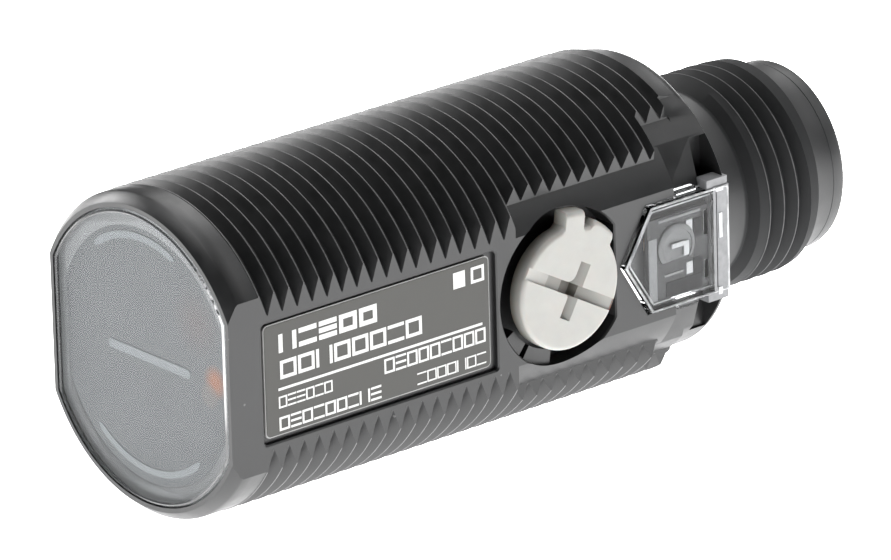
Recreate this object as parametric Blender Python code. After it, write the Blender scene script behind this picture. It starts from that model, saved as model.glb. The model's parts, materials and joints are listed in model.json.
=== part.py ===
"""Cylindrical photoelectric sensor with an M18 barrel and an M12 connector.

Frame: +X runs from the sensing face to the connector, the origin is on the axis at the sensing
face, and +Z is up. The label, the adjuster and the indicator window are on the -Y flat.
Every length below is in millimetres and becomes metres where a mesh is made.
"""
import bmesh
import bpy
from math import acos, asin, cos, pi, radians, sin, sqrt, tau
from mathutils import Matrix, Vector

MM = 0.001
GAP = 0.2                       # clearance between pieces that rest on each other
SIDES = 32                      # facets round a small turned piece

# Barrel: M18 x 1 thread with two flats
CREST_R = 8.9
ROOT_R = 8.3
PITCH = 1.0
THREAD_SIDES = 36
FIRST_CREST_X = 1.93            # measured at the top of the barrel
GROOVES = 30
FLAT_Y = 7.42                   # half the width across the flats
RIM_R = 8.35                    # front edge of the barrel, before its chamfer
CHAMFER_X = 0.6
BARREL_END_X = 34.1
REAR_ROUND = 1.1

# Bores of the barrel
SEAT_R, SEAT_Y, SEAT_X = 8.15, 7.22, 1.8
CAVITY_R, CAVITY_Y, CAVITY_END_X = 7.3, 6.2, 31.0
REAR_BORE_R = 6.2

# Front optics
COVER_THICK = 1.1
LENS_PLATE_X = (1.9, 2.7)
LENS_DOME = 0.45
HOLDER_X = (3.0, 11.2)
CHANNEL_Z = 3.25                # height of each light channel's centre over the axis
CHANNEL_SIZE = (9.6, 4.9)
OPTICS_BOARD_X = (11.5, 12.3)

# Label on the -Y flat
LABEL_X = (2.3, 17.55)
LABEL_Z = (-3.1, 3.15)
LABEL_RECESS_X = (2.15, 18.05)
LABEL_RECESS_Z = (-3.45, 3.3)

# Sensitivity adjuster
KNOB_X = 22.67
KNOB_R = 3.38
KNOB_FACE_Y = -7.92
KNOB_BACK_Y = -6.1
POCKET_R = 4.5
POCKET_WALL = 3.53              # straight stop wall, measured from the adjuster's axis
POCKET_FLOOR_Y = -5.9
BOSS_R = 5.3
BOSS_END_Y = -4.7
SHAFT_R = 1.5
TAB_R, TAB_ANGLE = 4.3, 83.0
LUG_R, LUG_ANGLES = 3.9, (35.0, 62.0)
SLOT_ANGLE = -28.0

# Indicator window at the rear of the flat
WINDOW_TIP_X, WINDOW_SHOULDER_X, WINDOW_Z = 26.8, 28.55, 3.0
WINDOW_FACE_Y, WINDOW_BACK_Y = -7.62, -6.8
GUIDE_X, GUIDE_Z = (28.9, 30.8), 2.0

# Boards
BOARD_X = (12.6, 30.6)
BOARD_Y = (-0.6, 0.2)
BOARD_Z = 6.2

# M12 connector
CAP_X = 31.7
CAP_FLANGE_R = 6.0
NECK_R = 5.3
PLUG_CREST_R, PLUG_ROOT_R = 5.88, 5.3
PLUG_FIRST_CREST_X, PLUG_GROOVES = 38.2, 3
PLUG_END_X, PLUG_END_R = 44.5, 5.27
PLUG_BORE_R = 4.45
PIN_CIRCLE_R, PIN_R = 2.5, 0.5
CARRIER_X = (34.9, 36.9)

for old in list(bpy.data.objects):
    bpy.data.objects.remove(old, do_unlink=True)


# ---------------------------------------------------------------- helpers
def at(axis, along, u, v):
    """A point from its place along an axis and across it: (y, z) round X, (x, z) round Y."""
    if axis == "X":
        return Vector((along, u, v)) * MM
    return Vector((u, along, v)) * MM


def add(name, bm):
    """Turn a bmesh into an object whose faces point out."""
    bmesh.ops.recalc_face_normals(bm, faces=bm.faces)
    mesh = bpy.data.meshes.new(name)
    bm.to_mesh(mesh)
    bm.free()
    mesh.shade_smooth()
    mesh.set_sharp_from_angle(angle=radians(30))
    obj = bpy.data.objects.new(name, mesh)
    bpy.context.scene.collection.objects.link(obj)
    return obj


def loft(name, rings):
    """A closed body through rings of points, with the first and last ring capped."""
    bm = bmesh.new()
    loops = [[bm.verts.new(p) for p in ring] for ring in rings]
    count = len(loops[0])
    for low, high in zip(loops, loops[1:]):
        for i in range(count):
            j = (i + 1) % count
            bm.faces.new((low[i], low[j], high[j], high[i]))
    bm.faces.new(loops[0])
    bm.faces.new(loops[-1])
    return add(name, bm)


def prism(name, outline, axis, start, end):
    return loft(name, [[at(axis, along, u, v) for u, v in outline] for along in (start, end)])


def circle(radius, centre=(0, 0), sides=SIDES):
    return [(centre[0] + radius * cos(tau * i / sides), centre[1] + radius * sin(tau * i / sides))
            for i in range(sides)]


def rod(name, radius, axis, start, end, centre=(0, 0), sides=SIDES):
    return prism(name, circle(radius, centre, sides), axis, start, end)


def turned(name, profile, axis="X", centre=(0, 0), sides=SIDES):
    """A solid of revolution: profile is a list of (place along the axis, radius)."""
    return loft(name, [[at(axis, along, u, v) for u, v in circle(radius, centre, sides)]
                       for along, radius in profile])


def ring(name, inner, outer, axis, start, end, centre=(0, 0), sides=SIDES):
    """A washer: four loops joined into one closed band."""
    bm = bmesh.new()
    section = [(start, inner), (start, outer), (end, outer), (end, inner)]
    loops = [[bm.verts.new(at(axis, along, u, v)) for u, v in circle(radius, centre, sides)]
             for along, radius in section]
    for k in range(4):
        for i in range(sides):
            j = (i + 1) % sides
            bm.faces.new((loops[k][i], loops[k][j], loops[k - 3][j], loops[k - 3][i]))
    return add(name, bm)


def box(name, xs, ys, zs):
    return prism(name, [(xs[0], zs[0]), (xs[1], zs[0]), (xs[1], zs[1]), (xs[0], zs[1])], "Y", *ys)


def clipped_circle(radius, half_width, steps=14):
    """A circle cut by two flats at y = +-half_width, as (y, z) points."""
    corner = asin(half_width / radius)
    points = []
    for middle in (0, pi):
        for i in range(steps + 1):
            turn = middle - corner + 2 * corner * i / steps
            points.append((radius * sin(turn), radius * cos(turn)))
    return points


def half_disc(radius, half_width, start_z, side, steps=14):
    """The part of a clipped circle beyond start_z, above (side = 1) or below the axis."""
    corner = asin(half_width / radius)
    points = [(-half_width, start_z * side), (-half_width, radius * cos(corner) * side)]
    for i in range(1, steps):
        turn = -corner + 2 * corner * i / steps
        points.append((radius * sin(turn), radius * cos(turn) * side))
    return points + [(half_width, radius * cos(corner) * side), (half_width, start_z * side)]


def combine(target, tools, operation):
    """Apply a Boolean with each tool in turn, then remove the tool."""
    for tool in tools:
        modifier = target.modifiers.new(operation.title(), "BOOLEAN")
        modifier.operation = operation
        modifier.solver = "EXACT"
        modifier.object = tool
        evaluated = target.evaluated_get(bpy.context.evaluated_depsgraph_get())
        mesh = bpy.data.meshes.new_from_object(evaluated)
        target.modifiers.remove(modifier)
        target.data = mesh
        bpy.data.objects.remove(tool, do_unlink=True)
    bm = bmesh.new()
    bm.from_mesh(target.data)
    bmesh.ops.dissolve_degenerate(bm, edges=bm.edges, dist=0.001 * MM)
    bm.to_mesh(target.data)
    bm.free()
    target.data.shade_smooth()
    target.data.set_sharp_from_angle(angle=radians(30))
    return target


def carve(target, *tools):
    return combine(target, tools, "DIFFERENCE")


def weld(target, *tools):
    return combine(target, tools, "UNION")


def finish(obj, colour, roughness, metallic=0.0, transmission=0.0):
    material = bpy.data.materials.new(obj.name + "_finish")
    material.use_nodes = True
    shader = material.node_tree.nodes["Principled BSDF"]
    shader.inputs["Base Color"].default_value = (*colour, 1)
    shader.inputs["Roughness"].default_value = roughness
    shader.inputs["Metallic"].default_value = metallic
    shader.inputs["Transmission Weight"].default_value = transmission
    obj.data.materials.clear()
    obj.data.materials.append(material)
    return obj


def screw_body(name, before, after, crest, root, first_crest, grooves, sides):
    """A body with a right-hand V thread of PITCH between two turned ends.

    The helix starts at +Y and passes the top a quarter turn later, where first_crest is measured.
    """
    bm = bmesh.new()

    def vertex(row, i):
        turn = tau * i / sides
        radius = root if row % 2 else crest
        along = first_crest + (row / 2 + i / sides - 0.25) * PITCH
        return bm.verts.new(at("X", along, radius * cos(turn), radius * sin(turn)))

    def loop(along, radius):
        return [bm.verts.new(at("X", along, u, v)) for u, v in circle(radius, sides=sides)]

    last = 2 * grooves
    rows = [[vertex(row, i) for i in range(sides)] for row in range(last + 1)]
    rows += [[vertex(last + 1, 0)], [vertex(last + 2, 0)]]
    for row in range(last + 1):
        rows[row].append(rows[row + 2][0])
    for low, high in zip(rows[:last], rows[1:last + 1]):
        for i in range(sides):
            bm.faces.new((low[i], low[i + 1], high[i + 1], high[i]))

    front = [loop(*point) for point in before]
    rear = [loop(*point) for point in after]
    for loops in (front, rear):
        for low, high in zip(loops, loops[1:]):
            for i in range(sides):
                j = (i + 1) % sides
                bm.faces.new((low[i], low[j], high[j], high[i]))
    bm.faces.new(front[0])
    bm.faces.new(rear[-1])

    start, begin = front[-1], rows[0]
    for i in range(sides - 1):
        bm.faces.new((start[i], start[i + 1], begin[i + 1], begin[i]))
    bm.faces.new((start[-1], start[0], begin[0], begin[-1], begin[-2]))
    bm.faces.new((begin[0], begin[-1], rows[1][0]))
    stop, end = rear[0], rows[last]
    for i in range(1, sides - 1):
        bm.faces.new((end[i], end[i + 1], stop[i + 1], stop[i]))
    bm.faces.new((end[-2], end[-1], stop[0], stop[-1]))
    bm.faces.new((end[0], end[1], stop[1], stop[0], end[-1]))
    bm.faces.new((end[0], end[-1], rows[last + 1][0]))
    return add(name, bm)


# ---------------------------------------------------------------- barrel
def facet(name, xs, top, bottom):
    """A cutter whose inner face passes through two (y, z) points and which lies outside it."""
    (y0, z0), (y1, z1) = top, bottom
    length = sqrt((y1 - y0) ** 2 + (z1 - z0) ** 2)
    out = ((z1 - z0) / length, (y0 - y1) / length)
    if out[0] > 0:
        out = (-out[0], -out[1])
    reach = 3.0
    outline = [top, bottom, (y1 + out[0] * reach, z1 + out[1] * reach),
               (y0 + out[0] * reach, z0 + out[1] * reach)]
    return prism(name, outline, "X", *xs)


def window_outline(grow):
    """The pentagon of the indicator window as (x, z) points, grown by a clearance."""
    tip, shoulder, half = WINDOW_TIP_X - 1.4 * grow, WINDOW_SHOULDER_X - grow, WINDOW_Z + grow
    return [(tip, 0), (shoulder, -half), (BARREL_END_X, -half), (BARREL_END_X, half), (shoulder, half)]


def rear_round(steps=4):
    """The rounded rear edge of the barrel as (x, radius) points."""
    start = BARREL_END_X - REAR_ROUND
    return [(start + REAR_ROUND * sin(pi / 2 * i / steps),
             CREST_R - REAR_ROUND * (1 - cos(pi / 2 * i / steps))) for i in range(steps + 1)]


def knob_pocket_outline():
    """Circle round the adjuster with its straight stop wall, as (x, z) points."""
    corner = acos(POCKET_WALL / POCKET_R)
    steps = 24
    return [(KNOB_X + POCKET_R * cos(corner + (tau - 2 * corner) * i / steps),
             POCKET_R * sin(corner + (tau - 2 * corner) * i / steps)) for i in range(steps + 1)]


def make_housing():
    front = [(0, RIM_R), (CHAMFER_X, CREST_R), (FIRST_CREST_X - 0.6, CREST_R)]
    body = screw_body("housing", front, rear_round(), CREST_R, ROOT_R, FIRST_CREST_X, GROOVES,
                      THREAD_SIDES)
    wide, far = 12.0, 40.0
    for side in (-1, 1):
        flat_ys = sorted((side * FLAT_Y, side * wide))
        carve(body, box("flat", (-1, far), flat_ys, (-wide, wide)))
    cavity = prism("cavity", clipped_circle(CAVITY_R, CAVITY_Y), "X", SEAT_X - 0.5, CAVITY_END_X)
    carve(cavity, rod("boss", BOSS_R, "Y", -wide, BOSS_END_Y, (KNOB_X, 0)))
    carve(body, cavity,
          prism("seat", clipped_circle(SEAT_R, SEAT_Y), "X", -1, SEAT_X),
          rod("rear_bore", REAR_BORE_R, "X", CAVITY_END_X - 1, BARREL_END_X + 1))
    carve(body,
          box("label_recess", LABEL_RECESS_X, (-wide, -FLAT_Y + 0.3), LABEL_RECESS_Z),
          prism("knob_pocket", knob_pocket_outline(), "Y", -wide, POCKET_FLOOR_Y),
          rod("seal_seat", 2.5, "Y", -wide, -5.2, (KNOB_X, 0)),
          rod("shaft_hole", SHAFT_R + GAP, "Y", -wide, BOSS_END_Y + 1, (KNOB_X, 0)))
    rear_open = [(x + (1 if x == BARREL_END_X else 0), z) for x, z in window_outline(0.12)]
    carve(body,
          prism("window_recess", rear_open, "Y", -wide, WINDOW_BACK_Y + 0.15),
          box("guide_hole", (GUIDE_X[0] - GAP, GUIDE_X[1] + GAP), (-wide, -5.5),
              (-GUIDE_Z - GAP, GUIDE_Z + GAP)))
    for side in (1, -1):
        carve(body,
              facet("knob_facet", (19.4, 30.0), (-6.4, 5.3 * side), (-7.62, 3.35 * side)),
              facet("rear_facet", (29.9, far), (-4.9, 6.75 * side), (-6.55, 5.1 * side)),
              facet("rear_corner", (29.9, far), (-6.45, 5.22 * side), (-7.62, 3.35 * side)),
              box("latch_pocket", (30.5, 33.7), (-wide, -6.5), sorted((3.6 * side, 5.3 * side))))
    return finish(body, (0.03, 0.031, 0.033), 0.5)


# ---------------------------------------------------------------- optics
def make_optics():
    cover_outline = clipped_circle(SEAT_R - 0.15, SEAT_Y - 0.15)
    inner = clipped_circle(SEAT_R - 0.35, SEAT_Y - 0.35)
    rounded = loft("lens_cover", [[at("X", x, y, z) for y, z in outline]
                                  for x, outline in ((0, inner), (0.12, cover_outline),
                                                     (COVER_THICK, cover_outline))])
    finish(rounded, (0.36, 0.38, 0.39), 0.15, transmission=0.4)

    seal = prism("lens_seal", cover_outline, "X", COVER_THICK + GAP, SEAT_X - GAP)
    carve(seal, prism("seal_hole", clipped_circle(CAVITY_R, CAVITY_Y), "X", 0, 3))
    finish(seal, (0.02, 0.02, 0.02), 0.8)

    for name, side in (("emitter_lens", 1), ("receiver_lens", -1)):
        start, end = LENS_PLATE_X
        outline = half_disc(CAVITY_R - 0.25, CAVITY_Y - 0.25, 0.55, side)
        middle = (0, CHANNEL_Z * side)

        def shrunk(factor):
            return [(middle[0] + (y - middle[0]) * factor, middle[1] + (z - middle[1]) * factor)
                    for y, z in outline]
        rings = [(end, 1.0), (start, 1.0)]
        rings += [(start - LENS_DOME * sin(radians(a)), 0.94 * cos(radians(a)))
                  for a in (0, 30, 60, 80)]
        lens = loft(name, [[at("X", x, y, z) for y, z in shrunk(factor)] for x, factor in rings])
        finish(lens, (0.5, 0.5, 0.5), 0.08, transmission=0.6)

    bar = [(-3.3, 0), (-2.9, -0.3), (2.9, -0.3), (3.3, 0), (2.9, 0.3), (-2.9, 0.3)]
    finish(prism("light_partition", bar, "X", COVER_THICK + GAP, HOLDER_X[0] - GAP),
           (0.45, 0.47, 0.48), 0.5)

    holder = prism("optics_holder", clipped_circle(CAVITY_R - 0.2, CAVITY_Y - 0.2), "X", *HOLDER_X)
    half_y, half_z = CHANNEL_SIZE[0] / 2, CHANNEL_SIZE[1] / 2
    for side in (1, -1):
        centre = CHANNEL_Z * side
        channel = box("channel", (0, 20), (-half_y, half_y), (centre - half_z, centre + half_z))
        outer = prism("limit", clipped_circle(CAVITY_R - 1.1, half_y + 0.4), "X", 1, 19)
        carve(holder, combine(channel, [outer], "INTERSECT"))
    finish(holder, (0.05, 0.05, 0.055), 0.6)

    finish(prism("optics_board", clipped_circle(CAVITY_R - 0.3, CAVITY_Y - 0.3), "X", *OPTICS_BOARD_X),
           (0.02, 0.16, 0.07), 0.5)
    front = OPTICS_BOARD_X[0] - 0.1
    led = turned("emitter_led", [(front, 1.5), (front - 0.8, 1.5), (front - 1.3, 1.35),
                                 (front - 1.9, 0.9), (front - 2.15, 0.4)], centre=(0, CHANNEL_Z), sides=20)
    finish(led, (0.5, 0.1, 0.1), 0.15)
    chip = box("receiver_photodiode", (front - 0.9, front), (-1.3, 1.3), (-CHANNEL_Z - 1.3, -CHANNEL_Z + 1.3))
    finish(chip, (0.06, 0.05, 0.08), 0.2)
    can = box("receiver_shield_can", (front - 1.9, front), (-2.2, 2.2), (-CHANNEL_Z - 2.2, -CHANNEL_Z + 2.2))
    carve(can,
          box("can_inside", (front - 1.6, front + 1), (-1.9, 1.9), (-CHANNEL_Z - 1.9, -CHANNEL_Z + 1.9)),
          rod("can_hole", 1.1, "X", 0, front, (0, -CHANNEL_Z), 20))
    finish(can, (0.7, 0.7, 0.72), 0.3, 1.0)


# ---------------------------------------------------------------- adjuster
def knob_outline():
    """Disc with its pointer tab and its stop lug, as (x, z) points round the adjuster's axis."""
    tab_half = radians(10)
    tab = radians(TAB_ANGLE)
    lug = [radians(a) for a in LUG_ANGLES]
    points = [(tab - 1.5 * tab_half, KNOB_R), (tab - tab_half, TAB_R), (tab + tab_half, TAB_R),
              (tab + 1.7 * tab_half, KNOB_R)]
    steps = 22
    start, stop = tab + 1.7 * tab_half, lug[0] + tau - radians(2)
    points += [(start + (stop - start) * i / steps, KNOB_R) for i in range(1, steps + 1)]
    points += [(lug[0] + (lug[1] - lug[0]) * i / 4, LUG_R) for i in range(5)]
    return [(KNOB_X + radius * cos(turn), radius * sin(turn)) for turn, radius in points]


def turn_about_adjuster(obj, degrees):
    """Turn a cutter's mesh about the adjuster's axis, from +X towards +Z."""
    centre = Vector((KNOB_X * MM, 0, 0))
    turn = Matrix.Rotation(radians(-degrees), 4, "Y")
    obj.data.transform(Matrix.Translation(centre) @ turn @ Matrix.Translation(-centre))
    return obj


def on_adjuster_axis(obj):
    """Put the object's origin on the adjuster's axis without moving its mesh in the world."""
    centre = Vector((KNOB_X * MM, KNOB_FACE_Y * MM, 0))
    obj.data.transform(Matrix.Translation(-centre))
    obj.location = centre
    return obj


def make_adjuster():
    outline = knob_outline()
    edge = 0.15

    def inset(amount):
        return [(KNOB_X + (x - KNOB_X) * (1 - amount / KNOB_R), z * (1 - amount / KNOB_R))
                for x, z in outline]
    knob = loft("sensitivity_knob", [[at("Y", y, u, v) for u, v in points] for y, points in (
        (KNOB_FACE_Y, inset(edge)), (KNOB_FACE_Y + edge, outline), (KNOB_BACK_Y, outline))])
    weld(knob, rod("shaft", SHAFT_R, "Y", KNOB_BACK_Y - 0.3, -3.8, (KNOB_X, 0)),
         box("blade", (KNOB_X - 1.1, KNOB_X + 1.1), (-4.0, -2.9), (-0.3, 0.3)))
    slots = [((-3.1, 3.1), 0.45, 0.6), ((-1.0, 1.0), 0.45, 1.1)]
    for (low, high), half, depth in slots:
        slot = box("long_slot", (KNOB_X + low, KNOB_X + high), (-12, KNOB_FACE_Y + depth), (-half, half))
        carve(knob, turn_about_adjuster(slot, SLOT_ANGLE))
    cross = box("cross_slot", (KNOB_X - 1.75, KNOB_X + 1.75), (-12, KNOB_FACE_Y + 0.9), (-0.4, 0.4))
    carve(knob, turn_about_adjuster(cross, SLOT_ANGLE + 90))
    finish(on_adjuster_axis(knob), (0.78, 0.78, 0.74), 0.45)

    finish(ring("knob_seal", SHAFT_R + 0.1, 2.35, "Y", -5.85, -5.35, (KNOB_X, 0)), (0.02, 0.02, 0.02), 0.7)

    case = box("trimmer_case", (KNOB_X - 2.3, KNOB_X + 2.3), (-3.3, BOARD_Y[0] - 0.1), (-2.3, 2.3))
    carve(case, rod("rotor_hole", 1.75, "Y", -5, -1.0, (KNOB_X, 0)))
    finish(case, (0.05, 0.12, 0.35), 0.4)
    rotor = rod("trimmer_rotor", 1.55, "Y", -3.5, -1.2, (KNOB_X, 0), 24)
    carve(rotor, box("rotor_slot", (KNOB_X - 1.3, KNOB_X + 1.3), (-5, -2.6), (-0.45, 0.45)))
    finish(on_adjuster_axis(rotor), (0.75, 0.75, 0.7), 0.4)


# ---------------------------------------------------------------- label, window, indicators
def make_flat_side():
    label = box("rating_label", LABEL_X, (-FLAT_Y + 0.04, -FLAT_Y + 0.2), LABEL_Z)
    finish(label, (0.17, 0.165, 0.145), 0.45)

    window = prism("indicator_window", window_outline(0), "Y", WINDOW_FACE_Y, WINDOW_BACK_Y)
    weld(window, box("guide", GUIDE_X, (WINDOW_BACK_Y - 0.3, -4.6), (-GUIDE_Z, GUIDE_Z)))
    finish(window, (0.8, 0.83, 0.84), 0.05, transmission=0.9)

    led_top = BOARD_Y[0] - 0.8
    for name, z, colour in (("operation_led", 1.1, (0.9, 0.35, 0.05)), ("stability_led", -1.1, (0.1, 0.7, 0.15))):
        finish(box(name, (29.2, 30.2), (led_top, BOARD_Y[0] - 0.1), (z - 0.7, z + 0.7)), colour, 0.3)


# ---------------------------------------------------------------- boards and their components
def make_boards():
    finish(box("main_board", BOARD_X, BOARD_Y, (-BOARD_Z, BOARD_Z)), (0.02, 0.16, 0.07), 0.5)
    back = BOARD_Y[1] + 0.1
    front = BOARD_Y[0] - 0.1
    finish(box("control_ic", (14.5, 18.5), (back, back + 0.9), (-2.0, 2.0)), (0.02, 0.02, 0.02), 0.5)
    finish(box("output_transistor", (24.0, 26.8), (back, back + 1.0), (-4.6, -2.0)), (0.02, 0.02, 0.02), 0.5)
    finish(box("protection_diode", (24.0, 27.2), (back, back + 1.2), (1.6, 3.6)), (0.03, 0.03, 0.03), 0.5)

    for number in range(4):
        x = 13.6 + 2.0 * number
        capacitor = box("chip_capacitor_%d" % (number + 1), (x, x + 0.8), (front - 0.8, front), (3.6, 5.2))
        finish(capacitor, (0.5, 0.38, 0.25), 0.4)
        x = 20.0 + 1.0 * number
        resistor = box("chip_resistor_%d" % (number + 1), (x, x + 0.6), (back, back + 0.5), (-0.6, 0.6))
        finish(resistor, (0.04, 0.04, 0.05), 0.4)

    link_end = BOARD_X[0] + 1.6
    link = box("board_link", (BOARD_X[0] + 0.2, BOARD_X[0] + 1.0), (back, back + 0.8), (-5.2, 5.2))
    for z in (-4.8, -3.6, -2.4, 2.4, 3.6, 4.8):
        weld(link, box("pin", (OPTICS_BOARD_X[1] + 0.1, link_end), (back + 0.2, back + 0.6), (z - 0.25, z + 0.25)))
    finish(link, (0.75, 0.6, 0.3), 0.3, 1.0)


# ---------------------------------------------------------------- connector
def make_connector():
    before = [(CAP_X, CAP_FLANGE_R), (32.4, CAP_FLANGE_R), (32.4, 5.45), (33.3, 5.45), (33.3, CAP_FLANGE_R),
              (BARREL_END_X, CAP_FLANGE_R), (BARREL_END_X, NECK_R + 0.2), (BARREL_END_X + 0.3, NECK_R),
              (37.2, NECK_R), (37.5, PLUG_CREST_R)]
    after = [(PLUG_FIRST_CREST_X + PLUG_GROOVES + 0.95, PLUG_CREST_R),
             (PLUG_FIRST_CREST_X + PLUG_GROOVES + 1.2, PLUG_END_R), (PLUG_END_X - 0.25, PLUG_END_R),
             (PLUG_END_X, PLUG_END_R - 0.25)]
    body = screw_body("connector_body", before, after, PLUG_CREST_R, PLUG_ROOT_R, PLUG_FIRST_CREST_X,
                      PLUG_GROOVES, SIDES)
    ledge_start, ledge_end, far = CARRIER_X[1] + GAP, CARRIER_X[1] + GAP + 0.5, 60
    carve(body,
          rod("front_bore", PLUG_BORE_R, "X", 0, ledge_start),
          rod("ledge_bore", PLUG_BORE_R - 0.6, "X", 0, far),
          rod("rear_bore", PLUG_BORE_R, "X", ledge_end, far))
    weld(body, box("key", (ledge_start + 0.1, PLUG_END_X - 1.5), (-0.6, 0.6), (PLUG_BORE_R - 0.7, PLUG_BORE_R + 0.3)))
    finish(body, (0.035, 0.036, 0.038), 0.45)

    finish(ring("connector_seal", 5.6, CAP_FLANGE_R + 0.05, "X", 32.55, 33.15), (0.02, 0.02, 0.02), 0.7)

    places = [(PIN_CIRCLE_R * cos(radians(a)), PIN_CIRCLE_R * sin(radians(a))) for a in (45, 135, 225, 315)]
    carrier = rod("pin_carrier", PLUG_BORE_R - GAP, "X", *CARRIER_X)
    carve(carrier, *[rod("hole", PIN_R + 0.15, "X", 0, 60, place, 16) for place in places])
    finish(carrier, (0.03, 0.03, 0.03), 0.5)
    for number, place in enumerate(places, start=1):
        pin = turned("contact_pin_%d" % number,
                     [(32.9, PIN_R), (43.1, PIN_R), (43.5, 0.35), (43.7, 0.15)], centre=place, sides=16)
        finish(pin, (0.85, 0.65, 0.3), 0.25, 1.0)

    for number, (y, z) in enumerate(places, start=1):
        side = 1 if y > 0 else -1
        face = BOARD_Y[1] + 0.1 if side > 0 else BOARD_Y[0] - 0.1
        across = (z - 0.25, z + 0.25)
        wire = box("lead_wire_%d" % number, (30.35, 31.6), sorted((face, face + 0.35 * side)), across)
        weld(wire, box("rise", (31.25, 31.6), sorted((face, y)), across),
             box("tail", (31.25, 32.75), (y - 0.2, y + 0.2), across))
        finish(wire, (0.8, 0.6, 0.35), 0.35, 1.0)


make_housing()
make_optics()
make_adjuster()
make_flat_side()
make_boards()
make_connector()
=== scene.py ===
# %% [markdown]
# # A threaded photoelectric sensor, modelled piece by piece
# The sensor is a black M18 barrel with two flats. Its front is a grey translucent window, one flat
# holds a foil label, an ivory adjuster and a clear indicator window, and an M12 plug is at the rear.
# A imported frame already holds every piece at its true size. This lesson dresses it: it replaces the
# pieces that are seen with finely made ones and gives every piece a procedural finish.

# %% Load the frame
import bmesh
import bpy
import json
import random
from math import acos, atan2, cos, degrees, pi, radians, sin, sqrt, tau
from mathutils import Matrix, Vector


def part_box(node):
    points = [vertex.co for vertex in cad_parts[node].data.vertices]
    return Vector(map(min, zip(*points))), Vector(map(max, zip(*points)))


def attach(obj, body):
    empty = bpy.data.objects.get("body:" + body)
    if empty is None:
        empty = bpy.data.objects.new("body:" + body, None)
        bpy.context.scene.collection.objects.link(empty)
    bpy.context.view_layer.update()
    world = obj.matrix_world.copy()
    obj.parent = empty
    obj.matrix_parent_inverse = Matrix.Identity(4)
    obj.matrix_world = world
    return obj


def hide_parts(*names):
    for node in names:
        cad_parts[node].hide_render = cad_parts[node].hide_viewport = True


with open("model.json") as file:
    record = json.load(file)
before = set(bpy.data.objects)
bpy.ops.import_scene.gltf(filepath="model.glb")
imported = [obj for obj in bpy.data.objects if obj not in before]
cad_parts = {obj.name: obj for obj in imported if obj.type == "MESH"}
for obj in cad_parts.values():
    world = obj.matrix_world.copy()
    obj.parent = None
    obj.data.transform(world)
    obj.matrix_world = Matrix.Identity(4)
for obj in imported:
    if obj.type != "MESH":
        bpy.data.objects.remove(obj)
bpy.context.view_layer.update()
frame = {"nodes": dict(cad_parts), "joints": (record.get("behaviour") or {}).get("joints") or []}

# %% [markdown]
# ## Sizes
# Small parts are easier to read in millimetres, so every length of the sensor is in millimetres and
# becomes metres only where a mesh or a node is made. The main sizes could be typed in again, but they
# are read from the frame, so that the visible pieces always fit the model under them.

# %% Main sizes from the frame
MM = 0.001


def box_mm(node):
    """The lowest and highest corner of a CAD node, in millimetres."""
    return [Vector(corner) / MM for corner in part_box(node)]


barrel_low, barrel_high = box_mm("housing")
CREST_R = barrel_high.z
FLAT_Y = barrel_high.y
BARREL_END = barrel_high.x
PITCH = 1.0
THREAD_DEPTH = 0.6
ROOT_R = CREST_R - THREAD_DEPTH
FIRST_CREST = 1.93
GROOVES = 30

adjuster_joint = frame["joints"][0]
KNOB_X = adjuster_joint["pos_m"][0] / MM
KNOB_FACE = box_mm("sensitivity_knob")[0].y
label_low, label_high = box_mm("rating_label")
window_low, window_high = box_mm("indicator_window")
plug_low, plug_high = box_mm("connector_body")
COVER_BACK = box_mm("lens_cover")[1].x
print("barrel crest radius", round(CREST_R, 2), "half width over flats", round(FLAT_Y, 2))

# %% [markdown]
# ## Mesh helpers
# Almost every piece here is a stack of rings. A prism has the same ring twice, a turned piece has a
# circle for each point of its profile, and a rounded edge is a few rings that step inwards. One
# function skins the rings, and Booleans cut the recesses. Bevel modifiers could round the edges too,
# but rings give the same edge on any outline and leave clean meshes for the Booleans.

# %% Rings and skins
def at(axis, along, u, v):
    """A point from its place along an axis and across it: (y, z) round X, (x, z) round Y."""
    if axis == "X":
        return Vector((along, u, v)) * MM
    return Vector((u, along, v)) * MM


def object_from(name, bm, crease=32):
    bmesh.ops.recalc_face_normals(bm, faces=bm.faces)
    mesh = bpy.data.meshes.new(name)
    bm.to_mesh(mesh)
    bm.free()
    mesh.shade_smooth()
    mesh.set_sharp_from_angle(angle=radians(crease))
    obj = bpy.data.objects.new(name, mesh)
    bpy.context.scene.collection.objects.link(obj)
    return obj


def bridge(bm, low, high):
    count = len(low)
    for i in range(count):
        j = (i + 1) % count
        bm.faces.new((low[i], low[j], high[j], high[i]))


def skin(name, rings, closed=False):
    """A body through rings of points: capped at both ends, or joined end to start if closed."""
    bm = bmesh.new()
    loops = [[bm.verts.new(point) for point in ring] for ring in rings]
    for low, high in zip(loops, loops[1:]):
        bridge(bm, low, high)
    if closed:
        bridge(bm, loops[-1], loops[0])
    else:
        bm.faces.new(loops[0])
        bm.faces.new(loops[-1])
    return object_from(name, bm)


def circle(radius, centre=(0, 0), sides=96):
    return [(centre[0] + radius * cos(tau * i / sides), centre[1] + radius * sin(tau * i / sides))
            for i in range(sides)]


def ring_at(axis, along, outline):
    return [at(axis, along, u, v) for u, v in outline]


def prism(name, outline, axis, start, end):
    return skin(name, [ring_at(axis, along, outline) for along in (start, end)])


def turned(name, profile, axis="X", centre=(0, 0), sides=96, closed=False):
    rings = [ring_at(axis, along, circle(radius, centre, sides)) for along, radius in profile]
    return skin(name, rings, closed)


def block(name, xs, ys, zs):
    return prism(name, [(xs[0], zs[0]), (xs[1], zs[0]), (xs[1], zs[1]), (xs[0], zs[1])], "Y", *ys)


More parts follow.
